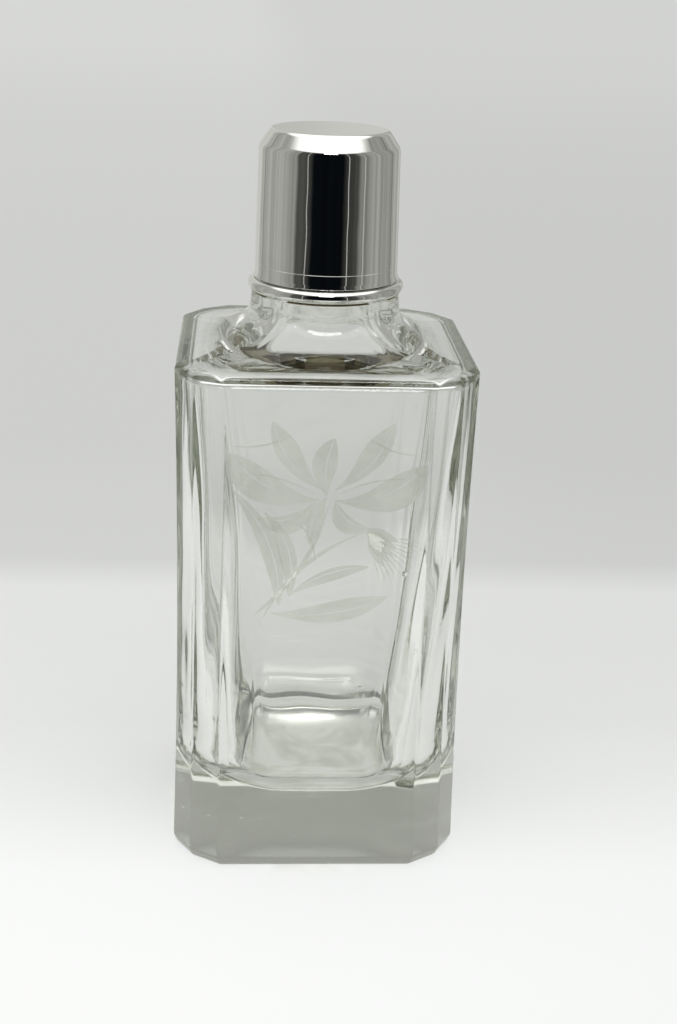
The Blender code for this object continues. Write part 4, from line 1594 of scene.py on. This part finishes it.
    def glow(self, bench: Bench, y: bpy.types.NodeSocket, through: bpy.types.NodeSocket,
             under: bpy.types.NodeSocket) -> bpy.types.NodeSocket:
        """The paper's glow for camera, mirror and through rays, more in front and under the bottle.

        Args:
            bench: the floor's bench.
            y: the place along Y.
            through: 1 for through rays.
            under: 1 under the bottle.

        Returns:
            The glow.
        """
        in_glass = bench.spread(y, *self.glow_in_glass, self.front_glow, self.paper_glow)
        in_air = bench.spread(y, *self.glow_in_air, self.front_glow, self.paper_glow)
        open_share = bench.product(in_air, bench.rest(through))
        share = bench.math("ADD", bench.product(in_glass, through), open_share)
        share = bench.math("MAXIMUM", share, bench.product(under, self.under_glow))
        seen = bench.math("MAXIMUM", bench.ray("Camera"), bench.math("MAXIMUM", bench.ray("Glossy"), through))
        return bench.product(seen, share)

    @staticmethod
    def mirror_rays(bench: Bench) -> bpy.types.NodeSocket:
        """1 for rays thrown back by a glossy surface, 0 for those that came through glass and all others."""
        return bench.product(bench.ray("Glossy"), bench.rest(bench.ray("Transmission")))

    def build_world(self) -> None:
        """Soft light from above and dimmer walls, by the direction's height.

        For mirrors the walls are the room beyond the floor, and the light starts higher. For through rays the
        light is dimmer. Both see a soft bright panel high in front. A camera ray sees plain grey.
        """
        world = bpy.data.worlds.new("surroundings")
        bpy.context.scene.world = world
        world.use_nodes = True
        bench = Bench(world.node_tree)
        place = bench.add("ShaderNodeTexCoord").outputs["Generated"]
        x, y, height = bench.split(place)
        mirrored = self.mirror_rays(bench)
        through = bench.ray("Transmission")
        walls = bench.blend(bench.spread(y, *self.walls_change, 0.0, 1.0), self.front_walls, self.back_walls)
        room = bench.add("ShaderNodeGroup", {"Vector": place}, node_tree=self.effects.room)
        walls = bench.blend(mirrored, walls, room.outputs[0])
        lowered = bench.math("SUBTRACT", height, bench.product(mirrored, self.lamp_lift))
        lamp = bench.blend(through, self.lamp, self.lamp_in_glass)
        full = bench.blend(bench.spread(lowered, *self.lamp_edge, 0.0, 1.0), walls, lamp)
        bearing = bench.math("ABSOLUTE", bench.math("ARCTAN2", x, bench.product(y, -1.0)))
        off = bench.math("ABSOLUTE", bench.math("SUBTRACT", height, self.panel_middle))
        panel = bench.product(bench.spread(off, *self.panel_tall, 1.0, 0.0),
                              bench.spread(bearing, *self.panel_wide, 1.0, 0.0),
                              bench.math("MAXIMUM", bench.ray("Glossy"), through))
        full = bench.blend(panel, full, self.panel)
        colour = bench.blend(bench.ray("Camera"), full, self.far_grey)
        bench.join(colour, world.node_tree.nodes["Background"].inputs["Color"])

    def build_camera(self) -> None:
        """The camera at the photograph's place: aimed by pitch and yaw, then rolled about its axis."""
        pitch, yaw, roll = self.camera_pitch, self.camera_yaw, self.camera_roll
        ahead = Vector((math.sin(yaw) * math.cos(pitch), math.cos(yaw) * math.cos(pitch), -math.sin(pitch)))
        level = ahead.cross(Vector((0, 0, 1))).normalized()
        upright = level.cross(ahead)
        right = level * math.cos(roll) + upright * math.sin(roll)
        up = upright * math.cos(roll) - level * math.sin(roll)
        data = bpy.data.cameras.new("camera")
        data.lens = self.camera_lens
        data.clip_start = 0.01
        data.clip_end = 50
        camera = bpy.data.objects.new("camera", data)
        turn = Matrix((right, up, -ahead)).transposed().to_4x4()
        camera.matrix_world = Matrix.Translation(self.camera_place) @ turn
        bpy.context.scene.collection.objects.link(camera)
        bpy.context.scene.camera = camera


def main() -> None:
    """Builds every piece, its finish and the studio."""
    logging.basicConfig(level=logging.INFO, format="%(name)s: %(message)s")
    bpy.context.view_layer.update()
    scene = bpy.context.scene
    scene.view_settings.view_transform = "Standard"
    scene.cycles.max_bounces = LIGHT_BOUNCES
    scene.cycles.transmission_bounces = LIGHT_BOUNCES
    scene.cycles.glossy_bounces = LIGHT_BOUNCES
    effects = Effects()
    finishes = Finishes(effects)
    bottle = Bottle()
    glass = bottle.build()
    finishes.dress(glass, Slot.GLASS, Body.BOTTLE, "bottle")
    bottle.bed(glass, finishes.made["bedded glass"])
    finishes.dress(Spray(bottle).build(), Slot.GLASS, Body.BOTTLE, finish="engraving")
    Mount().build(finishes)
    Cap().build(finishes)
    Stopper().build(finishes)
    Studio(effects).build()


if __name__ == "__main__":
    main()
